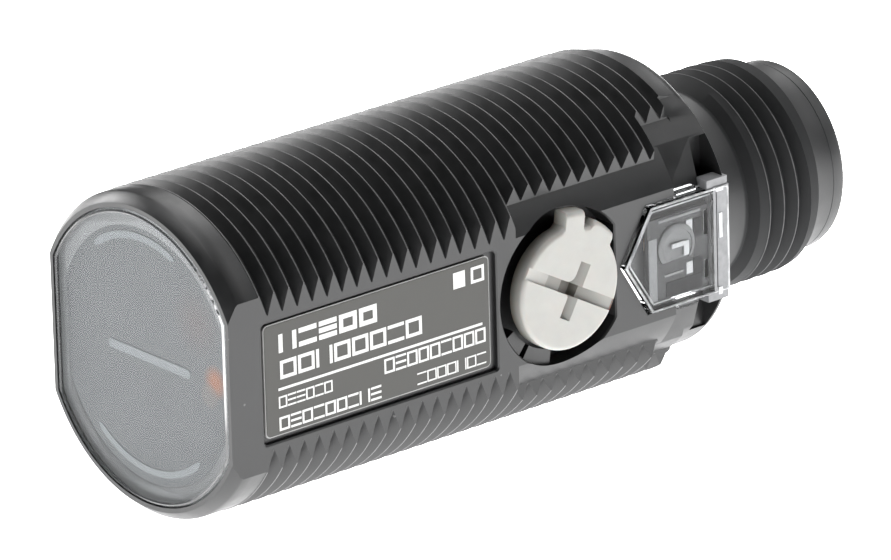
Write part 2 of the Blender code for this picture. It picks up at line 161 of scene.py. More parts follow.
# %% Outlines
def clipped_circle(radius, half_width, corner=0.0, steps=40):
    """A circle cut by two flats at y = +-half_width, with rounded corners, as (y, z) points."""
    lift = sqrt((radius - corner) ** 2 - (half_width - corner) ** 2)
    turn = atan2(half_width - corner, lift)
    half = [(radius * sin(turn * i / steps), radius * cos(turn * i / steps)) for i in range(steps + 1)]
    if corner:
        turns = [turn + (pi / 2 - turn) * i / 6 for i in range(1, 7)]
        half += [(half_width - corner + corner * sin(t), lift + corner * cos(t)) for t in turns]
    upper = [(-y, z) for y, z in reversed(half[1:])] + half
    return upper + [(-y, -z) for y, z in upper]


def arc(centre, radius, start, end, steps):
    """Points along an arc, angles in degrees."""
    turns = [radians(start + (end - start) * i / steps) for i in range(steps + 1)]
    return [(centre[0] + radius * cos(t), centre[1] + radius * sin(t)) for t in turns]


def rounded_edge(edge, steps=5):
    """Pairs of (depth, inset) down a quarter-round edge, from a level ring that keeps the face flat."""
    turns = [pi / 2 * i / steps for i in range(steps + 1)]
    return [(0.0, edge + 0.05)] + [(edge * (1 - cos(t)), edge * (1 - sin(t))) for t in turns]


def rounded(corners, radii, steps=5):
    """A polygon with its corners rounded by arcs; radii is one number, or one for each corner."""
    points = []
    count = len(corners)
    for i, corner in enumerate(corners):
        radius = radii[i] if isinstance(radii, (list, tuple)) else radii
        if radius == 0:
            points.append(corner)
            continue
        here = Vector(corner)
        back = (Vector(corners[i - 1]) - here).normalized()
        ahead = (Vector(corners[(i + 1) % count]) - here).normalized()
        half = back.angle(ahead) / 2
        reach = radius / sin(half)
        middle = here + (back + ahead).normalized() * reach
        run = radius * cos(half) / sin(half)
        first, last = here + back * run, here + ahead * run
        start = atan2(first.y - middle.y, first.x - middle.x)
        sweep = (atan2(last.y - middle.y, last.x - middle.x) - start + pi) % tau - pi
        points += [(middle.x + radius * cos(start + sweep * k / steps),
                    middle.y + radius * sin(start + sweep * k / steps)) for k in range(steps + 1)]
    return points


# %% Booleans and clean edges
def combine(target, tools, operation):
    for tool in tools:
        modifier = target.modifiers.new(operation.title(), "BOOLEAN")
        modifier.operation = operation
        modifier.solver = "MANIFOLD"
        modifier.object = tool
        evaluated = target.evaluated_get(bpy.context.evaluated_depsgraph_get())
        mesh = bpy.data.meshes.new_from_object(evaluated)
        target.modifiers.remove(modifier)
        target.data = mesh
        bpy.data.objects.remove(tool, do_unlink=True)
    return target


def carve(target, *tools):
    return combine(target, tools, "DIFFERENCE")


def weld(target, *tools):
    return combine(target, tools, "UNION")


def tidy(obj, crease=32, merge=0.002):
    """Merge the slivers that a Boolean leaves, and mark the sharp edges again."""
    bm = bmesh.new()
    bm.from_mesh(obj.data)
    bmesh.ops.remove_doubles(bm, verts=bm.verts, dist=merge * MM)
    bmesh.ops.dissolve_degenerate(bm, edges=bm.edges, dist=merge * MM)
    bm.to_mesh(obj.data)
    bm.free()
    obj.data.shade_smooth()
    obj.data.set_sharp_from_angle(angle=radians(crease))
    return obj


def crisp_flats(obj):
    """Keep the faces that look along Y flat-shaded right up to their outline."""
    bm = bmesh.new()
    bm.from_mesh(obj.data)
    for edge in bm.edges:
        level = [abs(face.normal.y) > 0.9999 for face in edge.link_faces]
        if any(level) and not all(level):
            edge.smooth = False
    bm.to_mesh(obj.data)
    bm.free()
    return obj


# %% Place a piece
def place(obj, material, body="sensor", replaces=()):
    """Give a piece its finish and the body that it rides on."""
    obj.data.materials.clear()
    obj.data.materials.append(material)
    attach(obj, body)
    if replaces:
        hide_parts(*replaces)
    print("made", obj.name, len(obj.data.polygons), "faces")
    return obj


# %% [markdown]
# ## Node helpers
# A material is a small graph of nodes. Linking them by hand in the editor works, but the same few
# patterns come back in every finish here, so each pattern is a function that returns a socket.

# %% Node helpers
def math_node(tree, operation, *operands):
    """A Math node whose operands are sockets or numbers; returns its result socket."""
    node = tree.nodes.new("ShaderNodeMath")
    node.operation = operation
    for socket, value in zip(node.inputs, operands):
        if isinstance(value, (int, float)):
            socket.default_value = value
        else:
            tree.links.new(value, socket)
    return node.outputs[0]


def object_place(tree):
    """Position on the object in metres, which stays put whatever the view."""
    return tree.nodes.new("ShaderNodeTexCoord").outputs["Object"]


def split_place(tree, kind="Object"):
    """The X, Y and Z sockets of the place on the object, or of the direction if kind is Generated."""
    parts = tree.nodes.new("ShaderNodeSeparateXYZ")
    tree.links.new(tree.nodes.new("ShaderNodeTexCoord").outputs[kind], parts.inputs[0])
    return parts.outputs


def noise(tree, scale, detail=2.0, rough=0.5):
    node = tree.nodes.new("ShaderNodeTexNoise")
    node.inputs["Detail"].default_value = detail
    node.inputs["Roughness"].default_value = rough
    if isinstance(scale, (int, float)):
        node.inputs["Scale"].default_value = scale
    else:
        tree.links.new(scale, node.inputs["Scale"])
    tree.links.new(object_place(tree), node.inputs["Vector"])
    return node.outputs["Fac"]


def ramp(tree, value, low, high, to_low=0.0, to_high=1.0, kind="LINEAR"):
    """Map the range low to high onto to_low to to_high, held level beyond its ends."""
    node = tree.nodes.new("ShaderNodeMapRange")
    node.interpolation_type = kind
    limits = {"From Min": low, "From Max": high, "To Min": to_low, "To Max": to_high}
    for label, number in limits.items():
        node.inputs[label].default_value = number
    tree.links.new(value, node.inputs["Value"])
    return node.outputs["Result"]

# %% [markdown]
# ## Camera and light
# The camera stands about 0.6 m away at the sensor's front left, with a long lens. A black part is
# read mostly by what it mirrors, so one soft lamp would leave it flat. Here a large panel hangs
# overhead, one stands behind the sensor for the sheen along its back, and two on the right pick out
# the plug and the label's side. The paper floor glows as a light table does, so that no shadow falls
# under the sensor, and the surround is dim overhead and bright low down beyond it.

# %% Camera
AZIMUTH, ELEVATION, ROLL = radians(-39.47), radians(20.76), radians(-1.56)
AIM = Vector((27.0, 0.0, 0.0))
DISTANCE, SIDEWAYS, UPWARDS = 600.65, -4.817, -2.587

right = Vector((cos(AZIMUTH), sin(AZIMUTH), 0))
back = Vector((sin(AZIMUTH) * cos(ELEVATION), -cos(AZIMUTH) * cos(ELEVATION), sin(ELEVATION)))
up = back.cross(right)
rolled_right = cos(ROLL) * right + sin(ROLL) * up
rolled_up = cos(ROLL) * up - sin(ROLL) * right
camera_data = bpy.data.cameras.new("camera")
SENSOR_WIDTH, FOCAL_LENGTH = 36.0, 454.4
camera_data.sensor_width = SENSOR_WIDTH
camera_data.lens = FOCAL_LENGTH
camera_data.clip_start, camera_data.clip_end = 0.05, 20.0
camera = bpy.data.objects.new("camera", camera_data)
place_of_eye = (AIM + SIDEWAYS * rolled_right + UPWARDS * rolled_up + DISTANCE * back) * MM
camera.matrix_world = Matrix.Translation(place_of_eye) @ Matrix(
    (rolled_right, rolled_up, back)).transposed().to_4x4()
bpy.context.scene.collection.objects.link(camera)
bpy.context.scene.camera = camera
print("camera at, m:", [round(v, 3) for v in place_of_eye])

# %% Light panels
scene = bpy.context.scene
scene.view_settings.view_transform = "Standard"


def panel(name, spot, size, power):
    """A square soft light that faces the middle of the sensor."""
    light = bpy.data.lights.new(name, "AREA")
    light.shape = "SQUARE"
    light.size = size
    light.energy = power
    obj = bpy.data.objects.new(name, light)
    middle = Vector((0.02, 0, 0))
    obj.location = spot
    obj.rotation_euler = (middle - Vector(spot)).to_track_quat("-Z", "Y").to_euler()
    scene.collection.objects.link(obj)
    print("light", name, size, "m wide,", power, "W")


panel("top_panel", (-0.05, 0.15, 0.80), 0.6, 4.0)
panel("back_panel", (-0.10, 0.76, 0.28), 0.35, 4.2)
panel("right_panel", (0.62, -0.26, 0.56), 0.55, 1.9)
panel("far_panel", (0.48, 0.34, 0.58), 0.5, 2.9)


# %% Surround
def studio_surround(dim, bright):
    """Dim overhead and behind the camera, bright low down beyond the sensor, as a paper sweep is."""
    world = bpy.data.worlds.new("studio")
    scene.world = world
    world.use_nodes = True
    tree = world.node_tree
    x, y, z = split_place(tree, "Generated")
    low_down = ramp(tree, z, 0.72, 0.35, kind="SMOOTHSTEP")
    beyond = math_node(tree, "MULTIPLY_ADD", x, 0.6, y)
    far_side = ramp(tree, beyond, -0.1, 0.9, kind="SMOOTHSTEP")
    both = math_node(tree, "MULTIPLY", low_down, far_side)
    strength = ramp(tree, both, 0.0, 1.0, dim, bright)
    tree.links.new(strength, tree.nodes["Background"].inputs["Strength"])


studio_surround(0.07, 2.5)

# %% Glowing paper floor
FLOOR_GAP = 0.4
floor_mesh = bpy.data.meshes.new("floor")
reach = 3.0
floor_z = (barrel_low.z - FLOOR_GAP) * MM
floor_mesh.from_pydata([(-reach, -reach, floor_z), (reach, -reach, floor_z), (reach, reach, floor_z),
                        (-reach, reach, floor_z)], [], [(0, 1, 2, 3)])
floor = bpy.data.objects.new("floor", floor_mesh)
scene.collection.objects.link(floor)
paper = bpy.data.materials.new("pale_paper")
paper.use_nodes = True
paper_look = {"Base Color": (0.92, 0.92, 0.92, 1), "Roughness": 0.9, "Specular IOR Level": 0.0,
              "Emission Color": (1, 1, 1, 1), "Emission Strength": 2.7}
for label, value in paper_look.items():
    paper.node_tree.nodes["Principled BSDF"].inputs[label].default_value = value
floor_mesh.materials.append(paper)
print("floor", 2 * reach, "m wide,", FLOOR_GAP, "mm under the barrel")

# %% [markdown]
# ## Effects that several finishes share
# A node group works like a function: it is built once, and each material feeds it its own numbers.
# `grain` is the fine texture that a moulded surface copies from its tool, `specks` scatters dust,
# and `crest_wear_and_highlight` finds the highest part of a round thread, where handling polishes
# the plastic and where a painted highlight lies. Painted images could hold all three, but noise in
# object space has no seams and no size limit.

# %% Grain, specks and wear
def new_group(name, inputs, outputs):
    tree = bpy.data.node_groups.new(name, "ShaderNodeTree")
    for label, value in inputs:
        socket = tree.interface.new_socket(label, in_out="INPUT", socket_type="NodeSocketFloat")
        socket.default_value = value
    for label in outputs:
        tree.interface.new_socket(label, in_out="OUTPUT", socket_type="NodeSocketFloat")
    return tree, tree.nodes.new("NodeGroupInput"), tree.nodes.new("NodeGroupOutput")


def make_grain():
    sockets = (("Scale", 14000.0), ("Blotch", 900.0))
    tree, inputs, outputs = new_group("grain", sockets, ("Height", "Mottle"))
    fine = noise(tree, inputs.outputs["Scale"], 3.0, 0.6)
    broad = noise(tree, inputs.outputs["Blotch"], 4.0, 0.55)
    tree.links.new(fine, outputs.inputs["Height"])
    tree.links.new(ramp(tree, broad, 0.3, 0.7), outputs.inputs["Mottle"])
    return tree


def make_specks():
    tree, inputs, outputs = new_group("specks", (("Scale", 1800.0), ("Amount", 0.06)), ("Mask",))
    cells = tree.nodes.new("ShaderNodeTexVoronoi")
    cells.inputs["Randomness"].default_value = 1.0
    tree.links.new(inputs.outputs["Scale"], cells.inputs["Scale"])
    tree.links.new(object_place(tree), cells.inputs["Vector"])
    chance = tree.nodes.new("ShaderNodeSeparateColor")
    tree.links.new(cells.outputs["Color"], chance.inputs[0])
    rare = math_node(tree, "LESS_THAN", chance.outputs[0], inputs.outputs["Amount"])
    size = math_node(tree, "MULTIPLY", chance.outputs[1], 0.22)
    near = math_node(tree, "LESS_THAN", cells.outputs["Distance"], size)
    tree.links.new(math_node(tree, "MULTIPLY", rare, near), outputs.inputs["Mask"])
    return tree


def make_crest_wear_and_highlight():
    sockets = (("Low Radius", 0.0087), ("High Radius", 0.0089))
    tree, inputs, outputs = new_group("crest_wear_and_highlight", sockets, ("Mask",))
    across = split_place(tree)[1:3]
    square = [math_node(tree, "POWER", place_across, 2.0) for place_across in across]
    radius = math_node(tree, "SQRT", math_node(tree, "ADD", *square))
    band = tree.nodes.new("ShaderNodeMapRange")
    tree.links.new(radius, band.inputs["Value"])
    tree.links.new(inputs.outputs["Low Radius"], band.inputs["From Min"])
    tree.links.new(inputs.outputs["High Radius"], band.inputs["From Max"])
    patchy = ramp(tree, noise(tree, 1500.0, 4.0), 0.35, 0.65, 0.55, 1.0)
    tree.links.new(math_node(tree, "MULTIPLY", band.outputs["Result"], patchy), outputs.inputs["Mask"])
    return tree


GRAIN, SPECKS, CREST_WEAR_AND_HIGHLIGHT = make_grain(), make_specks(), make_crest_wear_and_highlight()
print("groups:", GRAIN.name, SPECKS.name, CREST_WEAR_AND_HIGHLIGHT.name)


# %% Finish helpers
def use_group(tree, group, **values):
    node = tree.nodes.new("ShaderNodeGroup")
    node.node_tree = group
    for label, value in values.items():
        node.inputs[label.replace("_", " ")].default_value = value
    return node


def mix_colour(tree, mask, low, high):
    node = tree.nodes.new("ShaderNodeMix")
    node.data_type = "RGBA"
    tree.links.new(mask, node.inputs["Factor"])
    for label, value in (("A", low), ("B", high)):
        socket = next(s for s in node.inputs if s.name == label and s.type == "RGBA")
        if isinstance(value, tuple):
            socket.default_value = (*value, 1)
        else:
            tree.links.new(value, socket)
    return next(s for s in node.outputs if s.type == "RGBA")


def new_finish(name, **constants):
    """A material with its Principled shader; constants go straight to the shader's sockets."""
    material = bpy.data.materials.new(name)
    material.use_nodes = True
    shader = material.node_tree.nodes["Principled BSDF"]
    for label, value in constants.items():
        shader.inputs[label.replace("_", " ")].default_value = value
    return material, material.node_tree, shader


def mottle(tree, shader, grain, first, second, smooth, rough):
    """Soft blotches of two near colours, with a matching change of roughness."""
    blotches = grain.outputs["Mottle"]
    tree.links.new(mix_colour(tree, blotches, first, second), shader.inputs["Base Color"])
    tree.links.new(ramp(tree, blotches, 0.0, 1.0, smooth, rough), shader.inputs["Roughness"])


def bump(tree, shader, height, strength, depth_mm):
    node = tree.nodes.new("ShaderNodeBump")
    node.inputs["Strength"].default_value = strength
    node.inputs["Distance"].default_value = depth_mm * MM
    tree.links.new(height, node.inputs["Height"])
    tree.links.new(node.outputs["Normal"], shader.inputs["Normal"])


# %% [markdown]
# ## The black plastic
# The barrel and the plug are moulded in a black glass-filled plastic with a satin skin. Its look is
# mostly reflection, so the base colour is nearly black, the roughness varies in soft blotches, and
# a very fine grain breaks up the highlights. The crests of the thread are painted paler, partly where
# handling polishes them and partly as a painted highlight. A plain black with one roughness would look
# like lacquer. Where the plug's thread runs out the skin is duller, so a mask along the axis takes
# gloss away there.

# %% Black plastic
def dull_zone(tree, start, end, blend=0.15):
    """A mask along the barrel's axis: 1 between start and end in millimetres, 0 outside."""
    along = split_place(tree)[0]
    rise = ramp(tree, along, (start - blend) * MM, start * MM)
    fall = ramp(tree, along, end * MM, (end + blend) * MM, 1.0, 0.0)
    return math_node(tree, "MULTIPLY", rise, fall)


def black_plastic(name, dark, pale, rough, crest, dull_from=None, dull_to=None):
    material, tree, shader = new_finish(name, Specular_IOR_Level=0.5)
    grain = use_group(tree, GRAIN)
    dust = use_group(tree, SPECKS, Scale=2200.0, Amount=0.012)
    wear_and_highlight = use_group(tree, CREST_WEAR_AND_HIGHLIGHT, Low_Radius=(crest - 0.03) * MM, High_Radius=(crest - 0.005) * MM)
    base = mix_colour(tree, grain.outputs["Mottle"], dark, pale)
    worn_and_highlit_amount = math_node(tree, "MULTIPLY", wear_and_highlight.outputs["Mask"], 0.9)
    # paler crests: partly polished by handling, partly a painted highlight
    worn_and_highlit = mix_colour(tree, worn_and_highlit_amount, base, (0.13, 0.13, 0.132))
    dust_amount = math_node(tree, "MULTIPLY", dust.outputs["Mask"], 0.5)
    tree.links.new(mix_colour(tree, dust_amount, worn_and_highlit, (0.16, 0.16, 0.16)), shader.inputs["Base Color"])
    roughness = ramp(tree, grain.outputs["Mottle"], 0.0, 1.0, rough - 0.04, rough + 0.05)
    if dull_from is not None:
        dull = dull_zone(tree, dull_from, dull_to)
        roughness = math_node(tree, "ADD", roughness, math_node(tree, "MULTIPLY", dull, 0.2))
        tree.links.new(ramp(tree, dull, 0.0, 1.0, 0.5, 0.22), shader.inputs["Specular IOR Level"])
    tree.links.new(roughness, shader.inputs["Roughness"])
    bump(tree, shader, grain.outputs["Height"], 0.35, 0.01)
    return material


BARREL_BLACK = black_plastic("barrel_black", (0.0100, 0.0103, 0.0108), (0.0140, 0.0144, 0.0150),
                             0.38, CREST_R)
PLUG_BLACK = black_plastic("plug_black", (0.0165, 0.0170, 0.0178), (0.0205, 0.0211, 0.0220),
                           0.46, plug_high.z, dull_from=37.35, dull_to=42.3)
print("finishes:", BARREL_BLACK.name, PLUG_BLACK.name)

# %% [markdown]
# ## A thread as one helix
# An M18 x 1 thread rises one millimetre for each turn. The mesh follows it: each row of points runs
# once round the barrel while it moves along by one pitch, and the end of a row joins the start of
# the row one pitch further. A stack of plain rings or a Screw modifier would be shorter, but the rings
# don't lean as a thread does, and a Boolean needs the closed body that this mesh is. The seam is put
# where a flat will cut it away.

# %% Helical thread
def thread_profile(crest, root):
    """One pitch as (place in the pitch, radius): a rounded crest, straight flanks, a narrow root."""
    return [(-0.05, crest - 0.035), (-0.02, crest), (0.02, crest), (0.05, crest - 0.035),
            (0.44, root + 0.02), (0.5, root), (0.56, root + 0.02)]


def screw_body(name, before, after, profile, first_crest, grooves, sides):
    """A body with a right-hand thread between two turned ends; the helix starts at +Y."""
    bm = bmesh.new()
    per_pitch = len(profile)

    def vertex(row, i):
        turn = tau * i / sides
        offset, radius = profile[row % per_pitch]
        along = first_crest + (row // per_pitch + offset + i / sides - 0.25) * PITCH
        return bm.verts.new(at("X", along, radius * cos(turn), radius * sin(turn)))

    last = per_pitch * grooves
    rows = [[vertex(row, i) for i in range(sides)] for row in range(last + 1)]
    rows += [[vertex(row, 0)] for row in range(last + 1, last + per_pitch + 1)]
    for row in range(last + 1):
        rows[row].append(rows[row + per_pitch][0])
    for low, high in zip(rows[:last], rows[1:last + 1]):
        for i in range(sides):
            bm.faces.new((low[i], low[i + 1], high[i + 1], high[i]))

    ends = []
    for points in (before, after):
        loops = [[bm.verts.new(p) for p in ring_at("X", along, circle(radius, sides=sides))]
                 for along, radius in points]
        for low, high in zip(loops, loops[1:]):
            bridge(bm, low, high)
        ends.append(loops)
    front, rear = ends
    bm.faces.new(front[0])
    bm.faces.new(rear[-1])
    start, begin = front[-1], rows[0]
    for i in range(sides - 1):
        bm.faces.new((start[i], start[i + 1], begin[i + 1], begin[i]))
    bm.faces.new((start[-1], start[0], begin[0], begin[-1], begin[-2]))
    bm.faces.new([begin[0]] + [rows[row][0] for row in range(1, per_pitch)] + [begin[-1]])
    stop, end = rear[0], rows[last]
    for i in range(1, sides - 1):
        bm.faces.new((end[i], end[i + 1], stop[i + 1], stop[i]))
    bm.faces.new((end[-2], end[-1], stop[0], stop[-1]))
    bm.faces.new((end[0], end[1], stop[1], stop[0], end[-1]))
    bm.faces.new([end[0]] + [rows[last + row][0] for row in range(1, per_pitch)] + [end[-1]])
    return object_from(name, bm)


print("barrel thread: crest", round(CREST_R, 2), "root", round(ROOT_R, 2), "with", GROOVES, "grooves")

# %% [markdown]
# ## The barrel
# The thread is cut by two flats, as on the real barrel, so each groove ends in a pointed tip on the
# flat. Beside the adjuster the thread stops early and leaves a smooth strip at the depth of the
# grooves. Recesses hold the label, the adjuster and the window. All of it could be drawn face by
# face, but a full thread that cutters take away from gives every edge where the real tool has it.
# A lip that flares out a little stands for the small radius that a moulded edge has.

# %% Recess outlines
FAR = 14.0
LIP = 0.08
COVER_R, COVER_HALF = 8.07, 7.14


def flared(name, outline_at, floor_y, lip=LIP):
    """A cutter sunk from the -Y flat whose mouth widens over the last bit of depth."""
    levels = [(floor_y, 0.0), (-FLAT_Y + lip, 0.0), (-FLAT_Y, lip), (-FAR, lip)]
    return skin(name, [ring_at("Y", y, outline_at(grow)) for y, grow in levels])


def label_outline(grow):
    low = (label_low.x - 0.1 - grow, label_low.z - 0.33 - grow)
    high = (label_high.x + 0.48 + grow, label_high.z + 0.1 + grow)
    return rounded([low, (high[0], low[1]), high, (low[0], high[1])], 0.25)


POCKET_R, POCKET_WALL, POCKET_FLOOR = 4.38, 3.53, -5.9


def pocket_outline(grow):
    radius = POCKET_R + grow
    corner = degrees(acos((POCKET_WALL + grow) / radius))
    return arc((KNOB_X, 0), radius, corner, 360 - corner, 72)


WINDOW_SHOULDER = window_low.x + 1.72


def window_outline(grow):
    tip, shoulder = window_low.x - 0.1 - 1.4 * grow, WINDOW_SHOULDER - grow
    half = window_high.z + grow
    rear = BARREL_END + (1 if grow > 0 else 0)
    return [(tip, 0), (shoulder, -half), (rear, -half), (rear, half), (shoulder, half)]


print("adjuster pocket radius", POCKET_R, "with its floor at y", POCKET_FLOOR)


# %% Strip cutter
def strip_cutter(name, xs, angles, radius, rise=0.65, spread=4.1):
    """Cuts the thread down to a smooth strip: a sector outside radius, angles from the top.

    Positive angles turn from +Z towards -Y. At the first angle the cut slopes up to the surface:
    it climbs by rise over spread degrees, so that the grooves run out.
    """
    start, stop = angles
    way = 1 if stop > start else -1
    steps = 24
    inner = [(radius, start + (stop - start) * i / steps) for i in range(steps + 1)]
    over = start - 1.4 * spread * way
    outer = [(CREST_R + 2, stop + (over - stop) * i / steps) for i in range(steps + 1)]
    outer.append((radius + rise, start - spread * way))
    outline = [(-r * sin(radians(t)), r * cos(radians(t))) for r, t in inner + outer]
    return prism(name, outline, "X", *xs)


# %% Barrel ends and thread-free strips
def barrel_profile_ends():
    """The chamfered front and the rounded rear collar, as (x, radius) points."""
    rim, front_collar, rear_collar = 8.35, CREST_R - 0.04, CREST_R - 0.3
    front = [(0.0, rim), (0.05, rim + 0.07), (0.52, front_collar - 0.06), (0.68, front_collar),
             (1.3, front_collar)]
    rear_r, steps = 1.2, 10
    rear = [(BARREL_END - rear_r + rear_r * sin(pi / 2 * i / steps),
             rear_collar - rear_r * (1 - cos(pi / 2 * i / steps))) for i in range(steps + 1)]
    return front, rear


def smooth_strips():
    """The thread-free strips beside the adjuster, above and below the flat."""
    end = BARREL_END + 1
    strip_r = ROOT_R - 0.05
    cutters = []
    for first, last, angle in ((19.4, 30.4, 51.8), (29.85, 32.1, 37.9)):
        for start, stop in ((angle, 68), (180 - angle, 112)):
            cutters.append(strip_cutter("strip", (first, last), (start, stop), strip_r))
    for start, stop in ((40, 68), (140, 112)):
        cutters.append(strip_cutter("rear_strip", (31.9, end), (start, stop), strip_r, 0.36, 9.0))
    cutters.append(strip_cutter("rear_relief", (31.95, end), (178, 112), 8.05))
    return cutters


# %% Barrel cavity and adjuster pocket
def inner_cavity():
    """The hollow inside, less the boss that the adjuster turns in."""
    cavity = prism("cavity", clipped_circle(7.3, 6.2), "X", 1.3, 31.0)
    boss = turned("boss", [(-FAR, 5.3), (-4.7, 5.3)], "Y", (KNOB_X, 0))
    return carve(cavity, boss)


def knob_pocket():
    """The pocket round the adjuster, with two raised shelves left standing at its lower front."""
    pocket = flared("knob_pocket", pocket_outline, POCKET_FLOOR)
    for first, last in ((212, 231), (236, 262)):
        shelf = arc((KNOB_X, 0), 6.0, first, last, 8) + arc((KNOB_X, 0), 3.55, last, first, 8)
        carve(pocket, prism("shelf", shelf, "Y", -6.75, -5.0))
    return pocket


# %% Barrel
SEAT_GAP = 0.03
LABEL_RECESS_FLOOR = -FLAT_Y + 0.3
WINDOW_RECESS_FLOOR = -6.65


def make_barrel():
    front, rear = barrel_profile_ends()
    body = screw_body("barrel", front, rear, thread_profile(CREST_R, ROOT_R), FIRST_CREST, GROOVES, 144)
    carve(body, *smooth_strips())
    for side in (-1, 1):
        ys = sorted((side * FLAT_Y, side * FAR))
        carve(body, block("flat", (-1, BARREL_END + 5), ys, (-FAR, FAR)))
    carve(body, inner_cavity(),
          prism("seat", clipped_circle(COVER_R + SEAT_GAP, COVER_HALF + SEAT_GAP), "X", -1, 1.8),
          turned("rear_bore", [(30.5, 6.2), (BARREL_END + 1, 6.2)]))
    carve(body, flared("label_recess", label_outline, LABEL_RECESS_FLOOR),
          knob_pocket(),
          turned("shaft_hole", [(-FAR, 1.7), (-4.0, 1.7)], "Y", (KNOB_X, 0), 48),
          flared("window_recess", lambda grow: window_outline(grow + 0.07),
                 WINDOW_RECESS_FLOOR, 0.05),
          block("guide_hole", (28.7, 31.0), (-FAR, -5.5), (-2.2, 2.2)))
    for side in (1, -1):
        inner, outer = 3.0 * side, 5.65 * side
        floor = [(-6.05, outer), (-6.9, inner), (-FAR, inner), (-FAR, outer)]
        carve(body, prism("latch_pocket", floor, "X", 30.4, 32.65),
              block("latch_slot", (32.6, 33.75), (-FAR, -5.7), sorted((inner, 5.5 * side))))
    return crisp_flats(tidy(body))


place(make_barrel(), BARREL_BLACK, replaces=("housing",))

# %% [markdown]
# ## Clear and frosted plastics
# Two clear mouldings close the barrel. The indicator window is a thick one, so it has true
# transmission, which makes some of the bright lines along its corners; painted highlight lines add
# the rest. The front cover is a thin flat plate over a frosted film. Transmission would work there
# too, but it keeps the lamps from reaching the film and leaves grain, so the plate is a skin with a
# low alpha instead. The film is not clear: it shows soft coloured patches and a painted orange glow.

# %% Clear plastic
def clear_plastic(name, clean, dusty, rough, ior, sheen=1.0):
    """A clear moulding; sheen below 1 stands for an anti-glare skin that mirrors less."""
    material, tree, shader = new_finish(name, Transmission_Weight=1.0, IOR=ior,
                                        Specular_Tint=(sheen, sheen, sheen, 1.0))
    mottle(tree, shader, use_group(tree, GRAIN, Blotch=600.0), clean, dusty, rough, rough + 0.04)
    return material


def see_through_skin(name, clean, dusty, alpha):
    """A thin clear plate with little sheen: most light passes straight through it."""
    material, tree, shader = new_finish(name, Alpha=alpha)
    mottle(tree, shader, use_group(tree, GRAIN, Blotch=600.0), clean, dusty, 0.04, 0.1)
    return material


COVER_CLEAR = see_through_skin("cover_clear", (0.147, 0.154, 0.158), (0.157, 0.164, 0.168), 0.1)
WINDOW_CLEAR = clear_plastic("window_clear", (0.99, 0.995, 1.0), (0.96, 0.97, 0.975), 0.01, 1.5, 0.15)


# %% Plain moulded finishes
def plain_finish(name, first, second, rough, metallic=0.0, scale=9000.0, blotch=900.0, **more):
    """Two near colours in soft blotches, with a matching change of roughness and a fine grain."""
    material, tree, shader = new_finish(name, Metallic=metallic, **more)
    grain = use_group(tree, GRAIN, Scale=scale, Blotch=blotch)
    mottle(tree, shader, grain, first, second, rough - 0.03, rough + 0.05)
    bump(tree, shader, grain.outputs["Height"], 0.15, 0.01)
    return material


COVER_RIM = plain_finish("cover_rim", (0.205, 0.214, 0.219), (0.218, 0.227, 0.232), 0.4,
                         Specular_IOR_Level=0.1)
# pale finish of the painted reflections of the lens rims and the partition
LENS_GLINT = plain_finish("lens_glint", (0.235, 0.257, 0.266), (0.254, 0.275, 0.285), 0.35,
                          Specular_IOR_Level=0.1)
print("finishes:", COVER_CLEAR.name, WINDOW_CLEAR.name, COVER_RIM.name, LENS_GLINT.name)


# %% Frosted film
def blob(tree, centre, near, far):
    """A soft round mask about a point given in millimetres: 1 inside near, 0 beyond far."""
    gap = tree.nodes.new("ShaderNodeVectorMath")
    gap.operation = "DISTANCE"
    tree.links.new(object_place(tree), gap.inputs[0])
    gap.inputs[1].default_value = Vector(centre) * MM
    return ramp(tree, gap.outputs["Value"], near * MM, far * MM, 1.0, 0.0)


# Each patch is (centre, inner radius, outer radius, amount, colour). The first, orange one is a
# painted glow; the other two are plain coloured patches.
FILM_GLOW_AND_PATCHES = (((0.38, -5.75, 0.15), 0.3, 1.0, 0.75, (0.36, 0.16, 0.09)),
               ((0.38, -5.2, -0.75), 0.55, 0.75, 0.6, (0.20, 0.187, 0.177)),
               ((0.38, -4.3, 3.0), 0.3, 2.0, 0.22, (0.19, 0.12, 0.105)))


def frosted_film():
    material, tree, shader = new_finish("cover_film", Roughness=0.5, Specular_IOR_Level=0.1)
    grain = use_group(tree, GRAIN, Blotch=500.0)
    dust = use_group(tree, SPECKS, Scale=1100.0, Amount=0.07)
    colour = mix_colour(tree, grain.outputs["Mottle"], (0.147, 0.156, 0.162), (0.156, 0.165, 0.171))
    for centre, near, far, amount, tone in FILM_GLOW_AND_PATCHES:
        # the first patch is a painted orange glow
        mask = math_node(tree, "MULTIPLY", blob(tree, centre, near, far), amount)
        colour = mix_colour(tree, mask, colour, tone)
    colour = mix_colour(tree, dust.outputs["Mask"], colour, (0.8, 0.8, 0.8))
    tree.links.new(colour, shader.inputs["Base Color"])
    return material


COVER_FILM = frosted_film()
print("finish:", COVER_FILM.name, "with", len(FILM_GLOW_AND_PATCHES), "glow_and_patches")

# %% [markdown]
# ## The front cover
# A clear plate with a rounded rim closes the barrel. Behind it a grey frame is welded to the
# plate, and inside the frame lies the frosted film, at the depth at which it appears through the
# plate. Two thin arcs and a bar are painted reflections of the rims of the two half lenses and of the
# wall between them, seen through the film. They could be drawn in the film's own finish, but as thin
# solids they also keep their shape in the meshes. A raised line round the plate's edge carries a
# painted highlight.

# %% Front cover
FILM_R, FILM_HALF = 7.08, 6.55
PLATE_BACK = 0.33
print("front plate", 2 * COVER_R, "mm high,", 2 * COVER_HALF, "mm wide and", PLATE_BACK, "mm thick")


def make_cover_plate():
    rings = [ring_at("X", depth, clipped_circle(COVER_R - inset, COVER_HALF - inset))
             for depth, inset in rounded_edge(0.14)]
    rings.append(ring_at("X", PLATE_BACK, clipped_circle(COVER_R, COVER_HALF)))
    return skin("cover_plate", rings)


